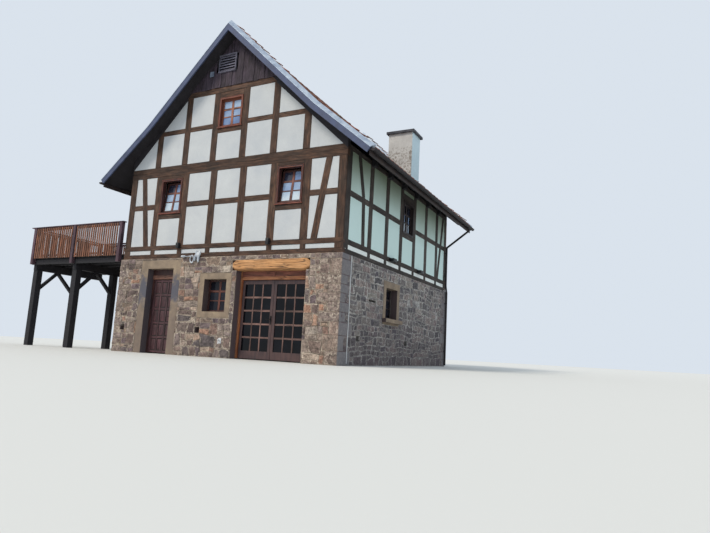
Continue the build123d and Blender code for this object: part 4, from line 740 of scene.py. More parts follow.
def layStones(name, matrix, width, height, holes, seed, material=rubbleStone, values=masonry):
    dice = random.Random(seed)
    bm = bmesh.new()
    bmesh.ops.create_grid(bm, x_segments=1, y_segments=1, size=0.5)
    bmesh.ops.translate(bm, verts=bm.verts, vec=(0.5, 0.5, 0))
    bmesh.ops.scale(bm, verts=bm.verts, vec=(width, height, 1))
    cutCourses(bm, width, height, dice, values)
    wanderJoints(bm, width, height, dice, values)
    for hole in holes:
        clearHole(bm, hole)
    slivers = [f for f in bm.faces if f.calc_area() < 0.004]
    bmesh.ops.delete(bm, geom=slivers, context="FACES")
    stones = bm.faces[:]
    ring = bmesh.ops.inset_individual(bm, faces=stones, thickness=values["joint"] / 2, use_even_offset=True)
    bmesh.ops.delete(bm, geom=ring["faces"], context="FACES")
    bmesh.ops.bevel(bm, geom=bm.verts[:], offset=values["corner"], offset_type="OFFSET", affect="VERTICES",
                    segments=2, profile=0.5, material=-1, clamp_overlap=True)
    for face in bm.faces:
        out = dice.uniform(*values["proud"])
        for v in face.verts:
            v.co.z = out
    base = bmesh.ops.extrude_face_region(bm, geom=bm.faces[:], use_keep_orig=True)
    under = [g for g in base["geom"] if isinstance(g, bmesh.types.BMVert)]
    bmesh.ops.translate(bm, verts=under, vec=(0, 0, -values["bed"]))
    lowFaces = [f for f in bm.faces if all(v.co.z < -values["bed"] / 2 for v in f.verts)]
    bmesh.ops.reverse_faces(bm, faces=lowFaces)
    bmesh.ops.recalc_face_normals(bm, faces=bm.faces[:])
    top = [f for f in bm.faces if all(v.co.z > 0 for v in f.verts)]
    rim = {e for f in top for e in f.edges}
    bmesh.ops.bevel(bm, geom=list(rim), offset=values["arris"], offset_type="OFFSET", affect="EDGES",
                    segments=2, profile=0.5, material=-1, clamp_overlap=True)
    core = bm.verts.layers.float.new("core")
    top = [f for f in bm.faces if len(f.verts) > 4 and f.normal.z > 0.9 and f.calc_center_median().z > 0]
    for face in top:
        rise = dice.uniform(*values["dome"])
        for v in bmesh.ops.poke(bm, faces=[face], offset=rise)["verts"]:
            v[core] = 1
    for v in bm.verts:
        if v.co.z > 0:
            v.co.z = min(v.co.z + noise.noise(v.co * 9 + Vector((seed, 0, 0))) * values["rough"], values["highest"])
    bmesh.ops.transform(bm, matrix=matrix, verts=bm.verts)
    paintIslands(bm, dice)
    return finishPiece(name, bm, material, sharp=40)


def planeMatrix(origin, outward):
    up = Vector((0, 0, 1))
    out = Vector(outward)
    matrix = Matrix((up.cross(out), up, out)).transposed().to_4x4()
    matrix.translation = Vector(origin)
    return matrix


quoins = {"height": (0.2, 0.40), "long": (0.42, 0.72), "short": (0.24, 0.36), "proud": 0.010, "arris": 0.016}


def layQuoins(bm, corner, wayX, wayY, dice, values=quoins, scale=1.0):
    # alternating long and short corner blocks; returns what they cover on both walls
    covers = []
    level = 0.0
    turn = dice.random() < 0.5
    while level < stoneTop - 0.05:
        high = min(dice.uniform(*values["height"]) * scale, stoneTop - level)
        if stoneTop - level - high < 0.15:
            high = stoneTop - level
        longer = dice.uniform(*values["long"]) * scale
        shorter = dice.uniform(*values["short"]) * scale
        alongX, alongY = (longer, shorter) if turn else (shorter, longer)
        part = bmesh.new()
        bmesh.ops.create_cube(part, size=1)
        joint = masonry["joint"]
        size = (alongX + values["proud"], alongY + values["proud"], high - joint * 0.35)
        bmesh.ops.scale(part, vec=size, verts=part.verts)
        bmesh.ops.bevel(part, geom=part.edges[:], offset=values["arris"], offset_type="OFFSET", affect="EDGES",
                        segments=2, profile=0.5, material=-1)
        bmesh.ops.subdivide_edges(part, edges=[e for e in part.edges if e.calc_length() > 0.2], cuts=3, use_grid_fill=True)
        push = dice.uniform(-0.006, 0.004)
        spot = Vector((corner[0] + wayX * (alongX - values["proud"]) / 2 - wayX * push,
                       corner[1] + wayY * (alongY - values["proud"]) / 2 - wayY * push, level + high / 2))
        for v in part.verts:
            v.co += v.co.normalized() * noise.noise((v.co + spot) * 6) * 0.009
            v.co.z = max(v.co.z, -spot.z)
        absorb(bm, part, Matrix.Translation(spot))
        covers.append((alongX + joint * 0.4, alongY + joint * 0.4, level, level + high))
        level += high
        turn = not turn
    return covers


def buildMasonry():
    dice = random.Random(5)
    bm = bmesh.new()
    rightFront = layQuoins(bm, (stoneRight, stoneFront), -1, 1, dice)
    leftFront = layQuoins(bm, (stoneLeft, stoneFront), 1, 1, dice, scale=0.72)
    rightBack = layQuoins(bm, (stoneRight, stoneBack), -1, -1, dice)
    leftBack = layQuoins(bm, (stoneLeft, stoneBack), 1, -1, dice)
    paintIslands(bm, dice)
    core = bm.verts.layers.float.new("core")
    for v in bm.verts:
        v[core] = 0.12
    finishPiece("corner_quoins", bm, quoinStone, sharp=40)
    width = stoneRight - stoneLeft
    depth = stoneBack - stoneFront
    joint = masonry["joint"] / 2
    holes = []
    for node in ("door_surround", "window_surrounds"):
        low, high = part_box(node)
        if node == "door_surround":
            holes.append((low[0] - stoneLeft - joint, high[0] - stoneLeft + joint, -0.1, high[2] + joint))
    window = openings["small"]
    holes.append((window[0] - stoneLeft - joint, window[1] - stoneLeft + joint, window[2] - joint, window[3] + joint))
    low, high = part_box("double_door_frame")
    holes.append((low[0] - stoneLeft, high[0] - stoneLeft, -0.1, high[2] + 0.05))
    low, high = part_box("timber_lintel")
    holes.append((low[0] - stoneLeft - joint, high[0] - stoneLeft + joint, low[2] - joint, high[2] + joint))
    for x0, x1, z0, z1 in ((-3.50, -3.32, 0.655, 0.815), (-0.545, -0.385, 0.65, 0.81)):
        holes.append((x0 - stoneLeft, x1 - stoneLeft, z0, z1))
    for alongX, alongY, z0, z1 in rightFront:
        holes.append((width - alongX, width + 1, z0 - 0.001, z1 + 0.001))
    for alongX, alongY, z0, z1 in leftFront:
        holes.append((-1, alongX, z0 - 0.001, z1 + 0.001))
    layStones("front_rubble", planeMatrix((stoneLeft, stoneFront, 0), (0, -1, 0)), width, stoneTop, holes, 21)
    holes = []
    window = openings["side"]
    holes.append((window[0] - stoneFront - joint, window[1] - stoneFront + joint, window[2] - joint, window[3] + joint))
    for d0, d1, z0, z1 in ((0.95, 1.15, 0.63, 0.78), (4.33, 4.56, 0.62, 0.77), (1.61, 2.08, 1.735, 1.795)):
        holes.append((yFront + d0 - stoneFront, yFront + d1 - stoneFront, z0, z1))
    for alongX, alongY, z0, z1 in rightFront:
        holes.append((-1, alongY, z0 - 0.001, z1 + 0.001))
    for alongX, alongY, z0, z1 in rightBack:
        holes.append((depth - alongY, depth + 1, z0 - 0.001, z1 + 0.001))
    layStones("right_rubble", planeMatrix((stoneRight, stoneFront, 0), (1, 0, 0)), depth, stoneTop, holes, 22, shadedSideStone, flatter)
    holes = [(-1, a, z0 - 0.001, z1 + 0.001) for a, b, z0, z1 in rightBack]
    holes += [(width - a, width + 1, z0 - 0.001, z1 + 0.001) for a, b, z0, z1 in leftBack]
    layStones("back_rubble", planeMatrix((stoneRight, stoneBack, 0), (0, 1, 0)), width, stoneTop, holes, 23)
    holes = [(-1, b, z0 - 0.001, z1 + 0.001) for a, b, z0, z1 in leftBack]
    holes += [(depth - b, depth + 1, z0 - 0.001, z1 + 0.001) for a, b, z0, z1 in leftFront]
    layStones("left_rubble", planeMatrix((stoneLeft, stoneBack, 0), (-1, 0, 0)), depth, stoneTop, holes, 24)
    print("rubble laid")


openings = {        # outer edges of the dressed borders: along the wall, then low and high
    "small": (-0.355 - 0.165, 0.434 + 0.165, 1.25 - 0.165, 2.162 + 0.165),
    "side": (yFront + 2.765 - 0.19, yFront + 3.60 + 0.19, 1.376 - 0.19, 2.263 + 0.19),
}
buildMasonry()


# Roof covering

tileSize = {"wide": 0.30, "gauge": 0.335, "long": 0.40, "thick": 0.013, "roll": 0.034, "tilt": 0.020, "start": 0.02}


def tileRow(length, values=tileSize):
    count = int(length / values["wide"])
    wide = length / count
    bm = bmesh.new()
    bmesh.ops.create_grid(bm, x_segments=8, y_segments=1, size=0.5)
    for v in bm.verts:
        share = v.co.x + 0.5
        roll = (0.5 + 0.5 * math.cos(2 * math.pi * share)) ** 1.7
        v.co.z = values["roll"] * roll
        v.co.x *= wide * 0.995
        v.co.y = (v.co.y + 0.5) * values["long"]
    bmesh.ops.solidify(bm, geom=bm.faces[:], thickness=values["thick"])
    bmesh.ops.recalc_face_normals(bm, faces=bm.faces[:])
    first = bm.verts[:] + bm.edges[:] + bm.faces[:]
    for i in range(1, count):
        copy = bmesh.ops.duplicate(bm, geom=first)
        made = [g for g in copy["geom"] if isinstance(g, bmesh.types.BMVert)]
        bmesh.ops.translate(bm, verts=made, vec=(wide * i, 0, 0))
    bmesh.ops.translate(bm, verts=bm.verts, vec=(wide / 2, 0, 0))
    mesh = bpy.data.meshes.new("tileRow")
    bm.to_mesh(mesh)
    bm.free()
    return mesh


def slopePoint(side, run):        # point of the tile face at a distance from the ridge, and its slope
    ridge, knee, eave = [roof["face"][2 + side * i] for i in range(3)]
    steep = math.dist(ridge, knee)
    start, end, gone = (ridge, knee, run) if run < steep else (knee, eave, run - steep)
    share = gone / math.dist(start, end)
    return start[0] + (end[0] - start[0]) * share, start[1] + (end[1] - start[1]) * share


def slopeLength(side):
    ridge, knee, eave = [roof["face"][2 + side * i] for i in range(3)]
    return math.dist(ridge, knee) + math.dist(knee, eave)


def slopeFrame(side, run, long):        # axes across, up the slope and square to it, with the foot of a tile
    x, z = slopePoint(side, run - 0.001)
    upX, upZ = slopePoint(side, max(0.0, run - long))
    up = Vector((upX - x, 0, upZ - z)).normalized()
    across = Vector((0, side, 0))        # keeps the frame right-handed on both slopes
    return across, up, across.cross(up), Vector((x, 0, z))


def buildTiles(side, name, cadNode):
    low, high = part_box(cadNode)
    inset = roof["rear"] - low[1]
    mesh = tileRow(high[1] - low[1] - 2 * inset)
    rows = int((slopeLength(side) - 0.12) / tileSize["gauge"])
    bm = bmesh.new()
    for i in range(rows + 1):
        run = max(slopeLength(side) - tileSize["start"] - i * tileSize["gauge"], tileSize["long"] * 0.9)
        across, up, normal, foot = slopeFrame(side, run, tileSize["long"])
        foot.y = low[1] + inset if side > 0 else high[1] - inset
        tilt = Matrix.Rotation(-math.atan(tileSize["tilt"] / tileSize["long"]), 4, "X")
        matrix = Matrix((across, up, normal)).transposed().to_4x4()
        matrix.translation = foot + normal * (tileSize["tilt"] + tileSize["thick"])
        part = bmesh.new()
        part.from_mesh(mesh)
        absorb(bm, part, matrix @ tilt)
    bpy.data.meshes.remove(mesh)
    dice = random.Random(31 + side)
    for group in islands(bm):        # no two tiles lie quite alike
        lift = Vector((dice.uniform(-0.003, 0.003), dice.uniform(-0.002, 0.002), dice.uniform(-0.003, 0.004)))
        for v in group:
            v.co += lift
    paintIslands(bm, dice)
    return finishPiece(name, bm, tileClay, sharp=50)


vergeTile = {"long": 0.34, "wide": 0.085, "thick": 0.022, "lift": 0.040, "start": 0.30}


def buildVergeTiles():        # narrow tiles bedded on the strips, their lower ends standing up a little
    bm = bmesh.new()
    dice = random.Random(37)
    for side in (-1, 1):
        rows = int((slopeLength(side) - vergeTile["start"] - 0.3) / tileSize["gauge"])
        for i in range(rows + 1):
            run = slopeLength(side) - vergeTile["start"] - i * tileSize["gauge"]
            across, up, normal, foot = slopeFrame(side, run, vergeTile["long"])
            rise = vergeLine(foot.x) - foot.z
            top = 0.11 + rise / math.hypot(1, up.z / up.x)
            for way in (-1, 1):
                part = bmesh.new()
                bmesh.ops.create_cube(part, size=1)
                bmesh.ops.translate(part, verts=part.verts, vec=(0, 0.5, 0.5))
                bmesh.ops.scale(part, vec=(vergeTile["wide"], vergeTile["long"], vergeTile["thick"]), verts=part.verts)
                bmesh.ops.bevel(part, geom=part.edges[:], offset=0.005, offset_type="OFFSET", affect="EDGES",
                                segments=2, profile=0.5, material=-1)
                turn = Matrix.Rotation(-math.atan(dice.uniform(0.6, 1.3) * vergeTile["lift"] / vergeTile["long"]), 4, "X")
                matrix = Matrix((across, up, normal)).transposed().to_4x4()
                foot.y = way * abs((roof["crest"] + roof["rear"]) / 2 + 0.005)
                matrix.translation = foot + normal * (top + vergeTile["lift"] * 0.6)
                absorb(bm, part, matrix @ turn)
    paintIslands(bm, dice)
    return finishPiece("verge_tiles", bm, tileClay, sharp=50)


def vergeLine(x):        # height of the upper edge of the verge boards
    for (xa, za), (xb, zb) in zip(roof["verge"][:-1], roof["verge"][1:]):
        if x <= xb:
            return za + (zb - za) * (x - xa) / (xb - xa)
    return roof["verge"][-1][1]


ridgeTile = {"radius": 0.125, "thick": 0.016, "long": 0.42, "lap": 0.05}


def buildRidge():
    low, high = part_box("ridge_cap")
    values = ridgeTile
    length = high[1] - low[1]
    count = round(length / (values["long"] - values["lap"]))
    step = length / count
    bm = bmesh.new()
    for i in range(count):
        part = bmesh.new()
        bmesh.ops.create_cone(part, cap_ends=False, segments=20, radius1=values["radius"], radius2=values["radius"] - 0.012,
                              depth=step + values["lap"])
        bmesh.ops.rotate(part, verts=part.verts, matrix=Matrix.Rotation(math.radians(-90), 3, "X"))
        geometry = part.verts[:] + part.edges[:] + part.faces[:]
        bmesh.ops.bisect_plane(part, geom=geometry, plane_co=(0, 0, -0.03), plane_no=(0, 0, -1), clear_outer=True)
        bmesh.ops.solidify(part, geom=part.faces[:], thickness=values["thick"])
        bmesh.ops.recalc_face_normals(part, faces=part.faces[:])
        centre = high[2] - values["radius"] - 0.006
        absorb(bm, part, Matrix.Translation((0, low[1] + step * (i + 0.5), centre)))
    trimY(bm, low[1], high[1])
    paintIslands(bm, random.Random(41))
    return finishPiece("ridge_tiles", bm, tileClay, replaces=["ridge_cap"])


def trimY(bm, low, high):        # keeps everything between two planes across the house
    for v in bm.verts:
        v.co.y = min(max(v.co.y, low), high)


buildTiles(-1, "tiles_left", "roof_left")
buildTiles(1, "tiles_right", "roof_right")
buildVergeTiles()
buildRidge()
print("roof tiled")


# Boarded gable top and its louvre

cladding = {"wide": (0.15, 0.24), "lap": 0.022, "thin": 0.016, "wave": 0.012, "step": 0.12}
louvreSize = {"x": (-0.56, 0.08), "z": (8.40, 8.96), "frame": 0.032, "proud": 0.035, "blades": 6, "lean": -34}


def addBoard(bm, x0, x1, z0, z1, y, outward, dice, wave):
    part = bmesh.new()
    grain = part.verts.layers.float_vector.new("grain")
    tone = part.verts.layers.float.new("tone")
    bmesh.ops.create_cube(part, size=1)
    bmesh.ops.scale(part, vec=(x1 - x0, cladding["thin"], z1 - z0), verts=part.verts)
    bmesh.ops.translate(part, verts=part.verts, vec=((x0 + x1) / 2, y, (z0 + z1) / 2))
    tall = [e for e in part.edges if abs(e.verts[0].co.z - e.verts[1].co.z) > (z1 - z0) / 2]
    bmesh.ops.subdivide_edges(part, edges=tall, cuts=max(2, int((z1 - z0) / cladding["step"])), use_grid_fill=True)
    shift = Vector([dice.uniform(0, 40) for _ in range(3)])
    shade = dice.random()
    for v in part.verts:
        v[grain] = Vector((v.co.z, v.co.x, v.co.y)) + shift
        v[tone] = shade
        left = v.co.x < (x0 + x1) / 2
        v.co.x += noise.noise(Vector((x0 if left else x1, 0, v.co.z * 2.6)) * 2) * wave
    for side in (-1, 1):        # top cut to the roof line
        spot = roof["face"][2]
        slope = slopeRuns(side)[1 if side < 0 else 0][1]
        normal = Vector((-slope, 0, 1)).normalized()
        cutAway(part, Vector((spot[0], 0, spot[1])) - normal * (roof["cover"] + 0.003), normal)
    absorb(bm, part)


def clad(bm, y, outward, hole, seed):
    dice = random.Random(seed)
    low = wall["collar"][1] - 0.045
    top = roofLine(0, roof["cover"])
    x, reach = [side * (top - low) / abs(slopeRuns(side)[1 if side < 0 else 0][1]) for side in (-1, 1)]
    upper = False
    while x < reach:
        wide = dice.uniform(*cladding["wide"])
        end = min(x + wide, reach)
        lap = cladding["lap"] if upper else 0.0
        face = y + outward * (0.022 if upper else 0.008)
        spans = [(low, top)]
        if hole and end + lap > louvreSize["x"][0] and x - lap < louvreSize["x"][1]:
            spans = [(low, louvreSize["z"][0]), (louvreSize["z"][1], top)]
        for z0, z1 in spans:
            highest = max(roofLine(x, roof["cover"]), roofLine(end, roof["cover"])) if x * end > 0 else top
            if z0 < highest - 0.02:
                drop = dice.uniform(-0.012, 0.012) if z0 == low else 0.0
                addBoard(bm, x - lap, end + lap, z0 + drop, z1 + 0.02, face, outward, dice, cladding["wave"] * (1.6 if upper else 0.3))
        x = end
        upper = not upper


def buildCladding():
    bm = bmesh.new()
    clad(bm, yFront, -1, True, 51)
    clad(bm, yBack, 1, False, 52)
    finishPiece("gable_cladding", bm, boardSpruce, replaces=["gable_boards"])
    bm = bmesh.new()
    y = yFront - 0.03
    out = (0, -1, 0)
    (x0, x1), (z0, z1) = louvreSize["x"], louvreSize["z"]
    wide = louvreSize["frame"]
    small = {**timber, "arris": 0.004, "bow": 0.001, "wane": 0.001}
    half = wide / 2
    for z in (z0 + half, z1 - half):
        addTimber(bm, (x0, y, z), (x1, y, z), wide, louvreSize["proud"] + 0.02, out, louvreSize["proud"], small)
    for x in (x0 + half, x1 - half):
        addTimber(bm, (x, y, z0 + half), (x, y, z1 - half), wide, louvreSize["proud"] + 0.02, out, louvreSize["proud"] - 0.002, small)
    pitchZ = (z1 - z0 - 2 * wide) / louvreSize["blades"]
    for i in range(louvreSize["blades"]):
        z = z0 + wide + pitchZ * (i + 0.5)
        turn = Matrix.Rotation(math.radians(louvreSize["lean"]), 3, "X")
        normal = turn @ Vector((0, -1, 0))
        addTimber(bm, (x0 + wide, y, z), (x1 - wide, y, z), 0.082, 0.012, normal, 0.006, small)
    finishPiece("gable_louvre", bm, makeTimber("weatheredLouvre", "#494754", "#636170", "#807e8c", "#777582", 0.85, 0.5),
                replaces=["gable_vents"])
    bm = bmesh.new()
    bmesh.ops.create_cube(bm, size=1)
    bmesh.ops.scale(bm, vec=(0.14, 0.03, 0.16), verts=bm.verts)
    bmesh.ops.bevel(bm, geom=bm.edges[:], offset=0.006, offset_type="OFFSET", affect="EDGES", segments=2, profile=0.5, material=-1)
    bmesh.ops.translate(bm, verts=bm.verts, vec=(-0.81, yFront - 0.045, 8.41))
    face = max(bm.faces, key=lambda f: -f.calc_center_median().y)
    bmesh.ops.inset_region(bm, faces=[face], thickness=0.018, depth=-0.008)
    finishPiece("gable_flap", bm, flapSheet)
    print("gable tops clad")


buildCladding()


# Windows

barSize = {"mullion": 0.074, "transom": 0.058, "bar": 0.032, "deep": 0.034}
fine = {**timber, "arris": 0.003, "bow": 0.0005, "wane": 0.0005, "face": 0.0003, "lap": 0.0, "step": 0.6}


def addBars(bm, low, high, acrossAxis, face, outward, columns, rows, heavyRow, turn=None):
    # bars over one pane: low and high are its corners across and up, face is the pane's plane
    part = bmesh.new()

    def spot(across, z):
        return (across, face, z) if acrossAxis == "x" else (face, across, z)

    deep = barSize["deep"]
    for i in range(1, columns):
        a = low[0] + (high[0] - low[0]) * i / columns
        wide = barSize["mullion"] if columns == 2 else barSize["bar"]
        addTimber(part, spot(a, low[1]), spot(a, high[1]), wide, deep, outward, deep / 2, fine)
    for i in range(1, rows):
        z = low[1] + (high[1] - low[1]) * i / rows
        wide = barSize["transom"] if i == heavyRow else barSize["bar"]
        addTimber(part, spot(low[0], z), spot(high[0], z), wide, deep, outward, deep / 2 - 0.001, fine)
    absorb(bm, part, turn)


def beadCasing(bm, x0, x1, z0, z1):        # thin beads round a front casing, on its outer and inner edges, and a narrow sill
    y = yFront - 0.012
    bead = sashes["bead"]
    for inset in (bead / 2, sashes["casing"] - bead / 2):
        a, b, low, high = x0 + inset, x1 - inset, z0 + inset, z1 - inset
        for start, end in (((a, low), (a, high)), ((b, low), (b, high)), ((a, high), (b, high)), ((a, low), (b, low))):
            addTimber(bm, (start[0], y, start[1]), (end[0], y, end[1]), bead, 0.02, (0, -1, 0), 0.008, fine)
    addTimber(bm, (x0 - 0.03, y, z0 + 0.012), (x1 + 0.03, y, z0 + 0.012), 0.024, 0.03, (0, -1, 0), 0.022, fine)


def addPane(bm, low, high, acrossAxis, face, paintedReflections, turn=None):        # one sheet for each row of panes, from the foot up, each with its level of painted reflection
    part = bmesh.new()
    layer = part.verts.layers.float.new("tone")
    wide = high[0] - low[0]
    tall = (high[1] - low[1]) / len(paintedReflections)
    middle = (low[0] + high[0]) / 2
    for i, shade in enumerate(paintedReflections):
        centre = low[1] + tall * (i + 0.5)
        size = (wide, 0.006, tall) if acrossAxis == "x" else (0.006, wide, tall)
        place = (middle, face, centre) if acrossAxis == "x" else (face, middle, centre)
        made = bmesh.ops.create_cube(part, size=1)["verts"]
        bmesh.ops.scale(part, vec=size, verts=made)
        bmesh.ops.translate(part, verts=made, vec=place)
        for v in made:
            v[layer] = shade
    absorb(bm, part, turn)


sashes = {"casing": 0.055, "sash": 0.055, "set": 0.07, "thick": 0.045, "play": 0.009, "lean": 7.5, "bead": 0.010}


def buildWindows():
    bars = bmesh.new()
    atticBars = bmesh.new()
    darkBars = bmesh.new()
    beads = bmesh.new()
    upperPanes = bmesh.new()
    lowerPanes = bmesh.new()
    skip = sashes["casing"] + sashes["sash"]
    for bay in (1, 5):        # the two tilted front windows
        x0 = frontPosts[bay] + wall["post"] / 2 + skip
        x1 = frontPosts[bay + 1] - wall["post"] / 2 - skip
        z0 = wall["windowSill"][1] + skip + sashes["play"]
        z1 = wall["windowHead"][0] - skip - sashes["play"]
        y = yFront + sashes["set"] + sashes["thick"] / 2
        pivot = Vector((0, y + sashes["thick"] / 2, z0 - sashes["sash"]))
        turn = Matrix.Translation(pivot) @ Matrix.Rotation(math.radians(-sashes["lean"]), 4, "X") @ Matrix.Translation(-pivot)
        addBars(bars, (x0, z0), (x1, z1), "x", y, (0, -1, 0), 2, 3, 2, turn)
        middle = (x0 + x1) / 2        # painted reflection of the dark reveal, strongest in the left panes' top row
        addPane(upperPanes, (x0, z0), (middle, z1), "x", y, (0.85, 0.66, 0.2), turn)
        addPane(upperPanes, (middle, z0), (x1, z1), "x", y, (0.82, 0.68, 0.55), turn)
        beadCasing(beads, x0 - skip, x1 + skip, wall["windowSill"][1], wall["windowHead"][0])
    half = wall["atticPitch"] / 2 - wall["atticPost"] / 2 - skip
    y = yFront + sashes["set"] + sashes["thick"] / 2
    low, high = (-half, wall["atticSill"][1] + skip), (half, wall["atticHead"][0] - skip)
    addBars(atticBars, low, high, "x", y, (0, -1, 0), 2, 3, 2)
    addPane(upperPanes, low, high, "x", y, (0.48, 0.58, 0.72))
    beadCasing(beads, -half - skip, half + skip, low[1] - skip, high[1] + skip)
    a = yFront + wall["sidePosts"][2] + wall["post"] / 2 + skip
    b = yFront + wall["sidePosts"][3] - wall["post"] / 2 - skip
    x = xRight - sashes["set"] - sashes["thick"] / 2
    low, high = (a, wall["windowSill"][1] - 0.015 + skip), (b, wall["sideHead"][0] - skip)
    addBars(darkBars, low, high, "y", x, (1, 0, 0), 2, 3, 2)
    strips = 9        # painted reflection: the sky in upright streaks of the wavy sheets, the other streaks dark
    for i in range(strips):
        c0, c1 = [low[0] + (high[0] - low[0]) * k / strips for k in (i, i + 1)]
        addPane(upperPanes, (c0, low[1]), (c1, high[1]), "y", x, (0.85, 0.6, 0.15) if i in (2, 4, 7) else (0.05, 0.05, 0.0))
    border = 0.165 + sashes["sash"]
    low = (openings["small"][0] + border, openings["small"][2] + border)
    high = (openings["small"][1] - border, openings["small"][3] - border)
    y = stoneFront + 0.205 + 0.03
    lowBars = bmesh.new()
    addBars(lowBars, low, high, "x", y, (0, -1, 0), 2, 3, 2)
    tone = lowBars.verts.layers.float["tone"]
    for v in lowBars.verts:        # the bars of the lower window are darker
        v[tone] = -0.3
    absorb(bars, lowBars)
    addPane(lowerPanes, low, high, "x", y, (0.3, 0.35, 0.25))
    border = 0.19 + sashes["sash"]
    low = (openings["side"][0] + border, openings["side"][2] + border)
    high = (openings["side"][1] - border, openings["side"][3] - border)
    x = stoneRight - 0.235
    addBars(darkBars, low, high, "y", x, (1, 0, 0), 2, 3, 2)
    addPane(lowerPanes, low, high, "y", x, (0.3, 0.3, 0.3))
    barWood = makeTimber("windowBarPine", "#3f211e", "#6b3c33", "#8e5644", "#664942", 0.55, 0.3)
    finishPiece("window_bars", bars, barWood)
    orangeWood = makeTimber("atticBarPine", "#5e3525", "#935a41", "#b4775a", "#86604f", 0.55, 0.3)
    finishPiece("attic_window_bars", atticBars, orangeWood)
    finishPiece("casing_beads", beads, makeTimber("casingBeadPine", "#4a2520", "#7f4538", "#a4634d", "#6f4a42", 0.55, 0.3))
    finishPiece("side_window_bars", darkBars, makeTimber("sideWindowPine", "#1d1718", "#2f2525", "#413434", "#3b3233", 0.6, 0.3))
    finishPiece("upper_glass", upperPanes, upperGlass, replaces=["window_panes"])
    finishPiece("lower_glass", lowerPanes, lowerGlass)
    print("windows glazed")


buildWindows()


# Doors

coffers = {"columns": 3, "rows": 5, "stile": 0.095, "rail": 0.062, "muntin": 0.05, "proud": 0.012, "field": 0.03, "groove": 0.026}


def buildLeftDoor():
    low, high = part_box("left_door_leaf")
    y = low[1]
    x0, x1 = low[0] + 0.003, high[0] - 0.003
    z0, z1 = low[2] + 0.003, high[2] - 0.003
    bm = bmesh.new()
    out = (0, -1, 0)
    deep = 0.016
    proud = coffers["proud"]
    pitchX = (x1 - x0 - coffers["stile"]) / coffers["columns"]
    pitchZ = (z1 - z0 - coffers["rail"]) / coffers["rows"]
    for i in range(coffers["columns"] + 1):
        x = x0 + coffers["stile"] / 2 + pitchX * i
        wide = coffers["stile"] if i in (0, coffers["columns"]) else coffers["muntin"]
        addTimber(bm, (x, y, z0), (x, y, z1), wide, deep, out, proud, fine)
    for i in range(coffers["rows"] + 1):
        z = z0 + coffers["rail"] / 2 + pitchZ * i
        addTimber(bm, (x0, y, z), (x1, y, z), coffers["rail"], deep, out, proud - 0.001, fine)
    for i in range(coffers["columns"]):
        for j in range(coffers["rows"]):
            addField(bm, x0 + coffers["stile"] / 2 + pitchX * (i + 0.5), z0 + coffers["rail"] / 2 + pitchZ * (j + 0.5),
                     pitchX - coffers["muntin"] - 2 * coffers["groove"], pitchZ - coffers["rail"] - 2 * coffers["groove"], y)
    material = makeTimber("cofferedDoorOak", "#27171a", "#462b30", "#634043", "#4c373b", 0.5, 0.25)
    finishPiece("left_door_coffers", bm, material, body="left_door")


def addField(bm, x, z, wide, high, y):        # one raised panel with a sloping border
    part = bmesh.new()
    grain = part.verts.layers.float_vector.new("grain")
    tone = part.verts.layers.float.new("tone")
    bmesh.ops.create_cube(part, size=1)
    bmesh.ops.scale(part, vec=(wide, 0.012, high), verts=part.verts)
    face = min(part.faces, key=lambda f: f.calc_center_median().y)
    bmesh.ops.inset_region(part, faces=[face], thickness=coffers["field"], depth=0.008)
    shade = timberDice.random()
    for v in part.verts:
        v[grain] = Vector((v.co.z + x * 5, v.co.x, v.co.y + z * 3))
        v[tone] = shade
    absorb(bm, part, Matrix.Translation((x, y + 0.004, z)))


glazing = {"pane": 0.08, "low": 0.235, "top": 0.11, "columns": 3, "rows": 5, "bar": 0.05, "deep": 0.03}


def buildDoubleDoor():
    material = makeTimber("glazedDoorOak", "#3c2b2b", "#624843", "#86695f", "#766059", 0.6, 0.4)
    for node, leaf, body in (("double_glass_left", "left", "double_door_left"), ("double_glass_right", "right", "double_door_right")):
        low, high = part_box(node)
        y = (low[1] + high[1]) / 2
        bm = bmesh.new()
        for i in range(1, glazing["columns"]):
            x = low[0] + (high[0] - low[0]) * i / glazing["columns"]
            addTimber(bm, (x, y, low[2]), (x, y, high[2]), glazing["bar"] * 0.8, glazing["deep"], (0, -1, 0), glazing["deep"] / 2, fine)
        for i in range(1, glazing["rows"]):
            z = low[2] + (high[2] - low[2]) * i / glazing["rows"]
            addTimber(bm, (low[0], y, z), (high[0], y, z), glazing["bar"], glazing["deep"], (0, -1, 0), glazing["deep"] / 2 - 0.001, fine)
        finishPiece("glazing_bars_" + leaf, bm, material, body=body)
    print("doors dressed")


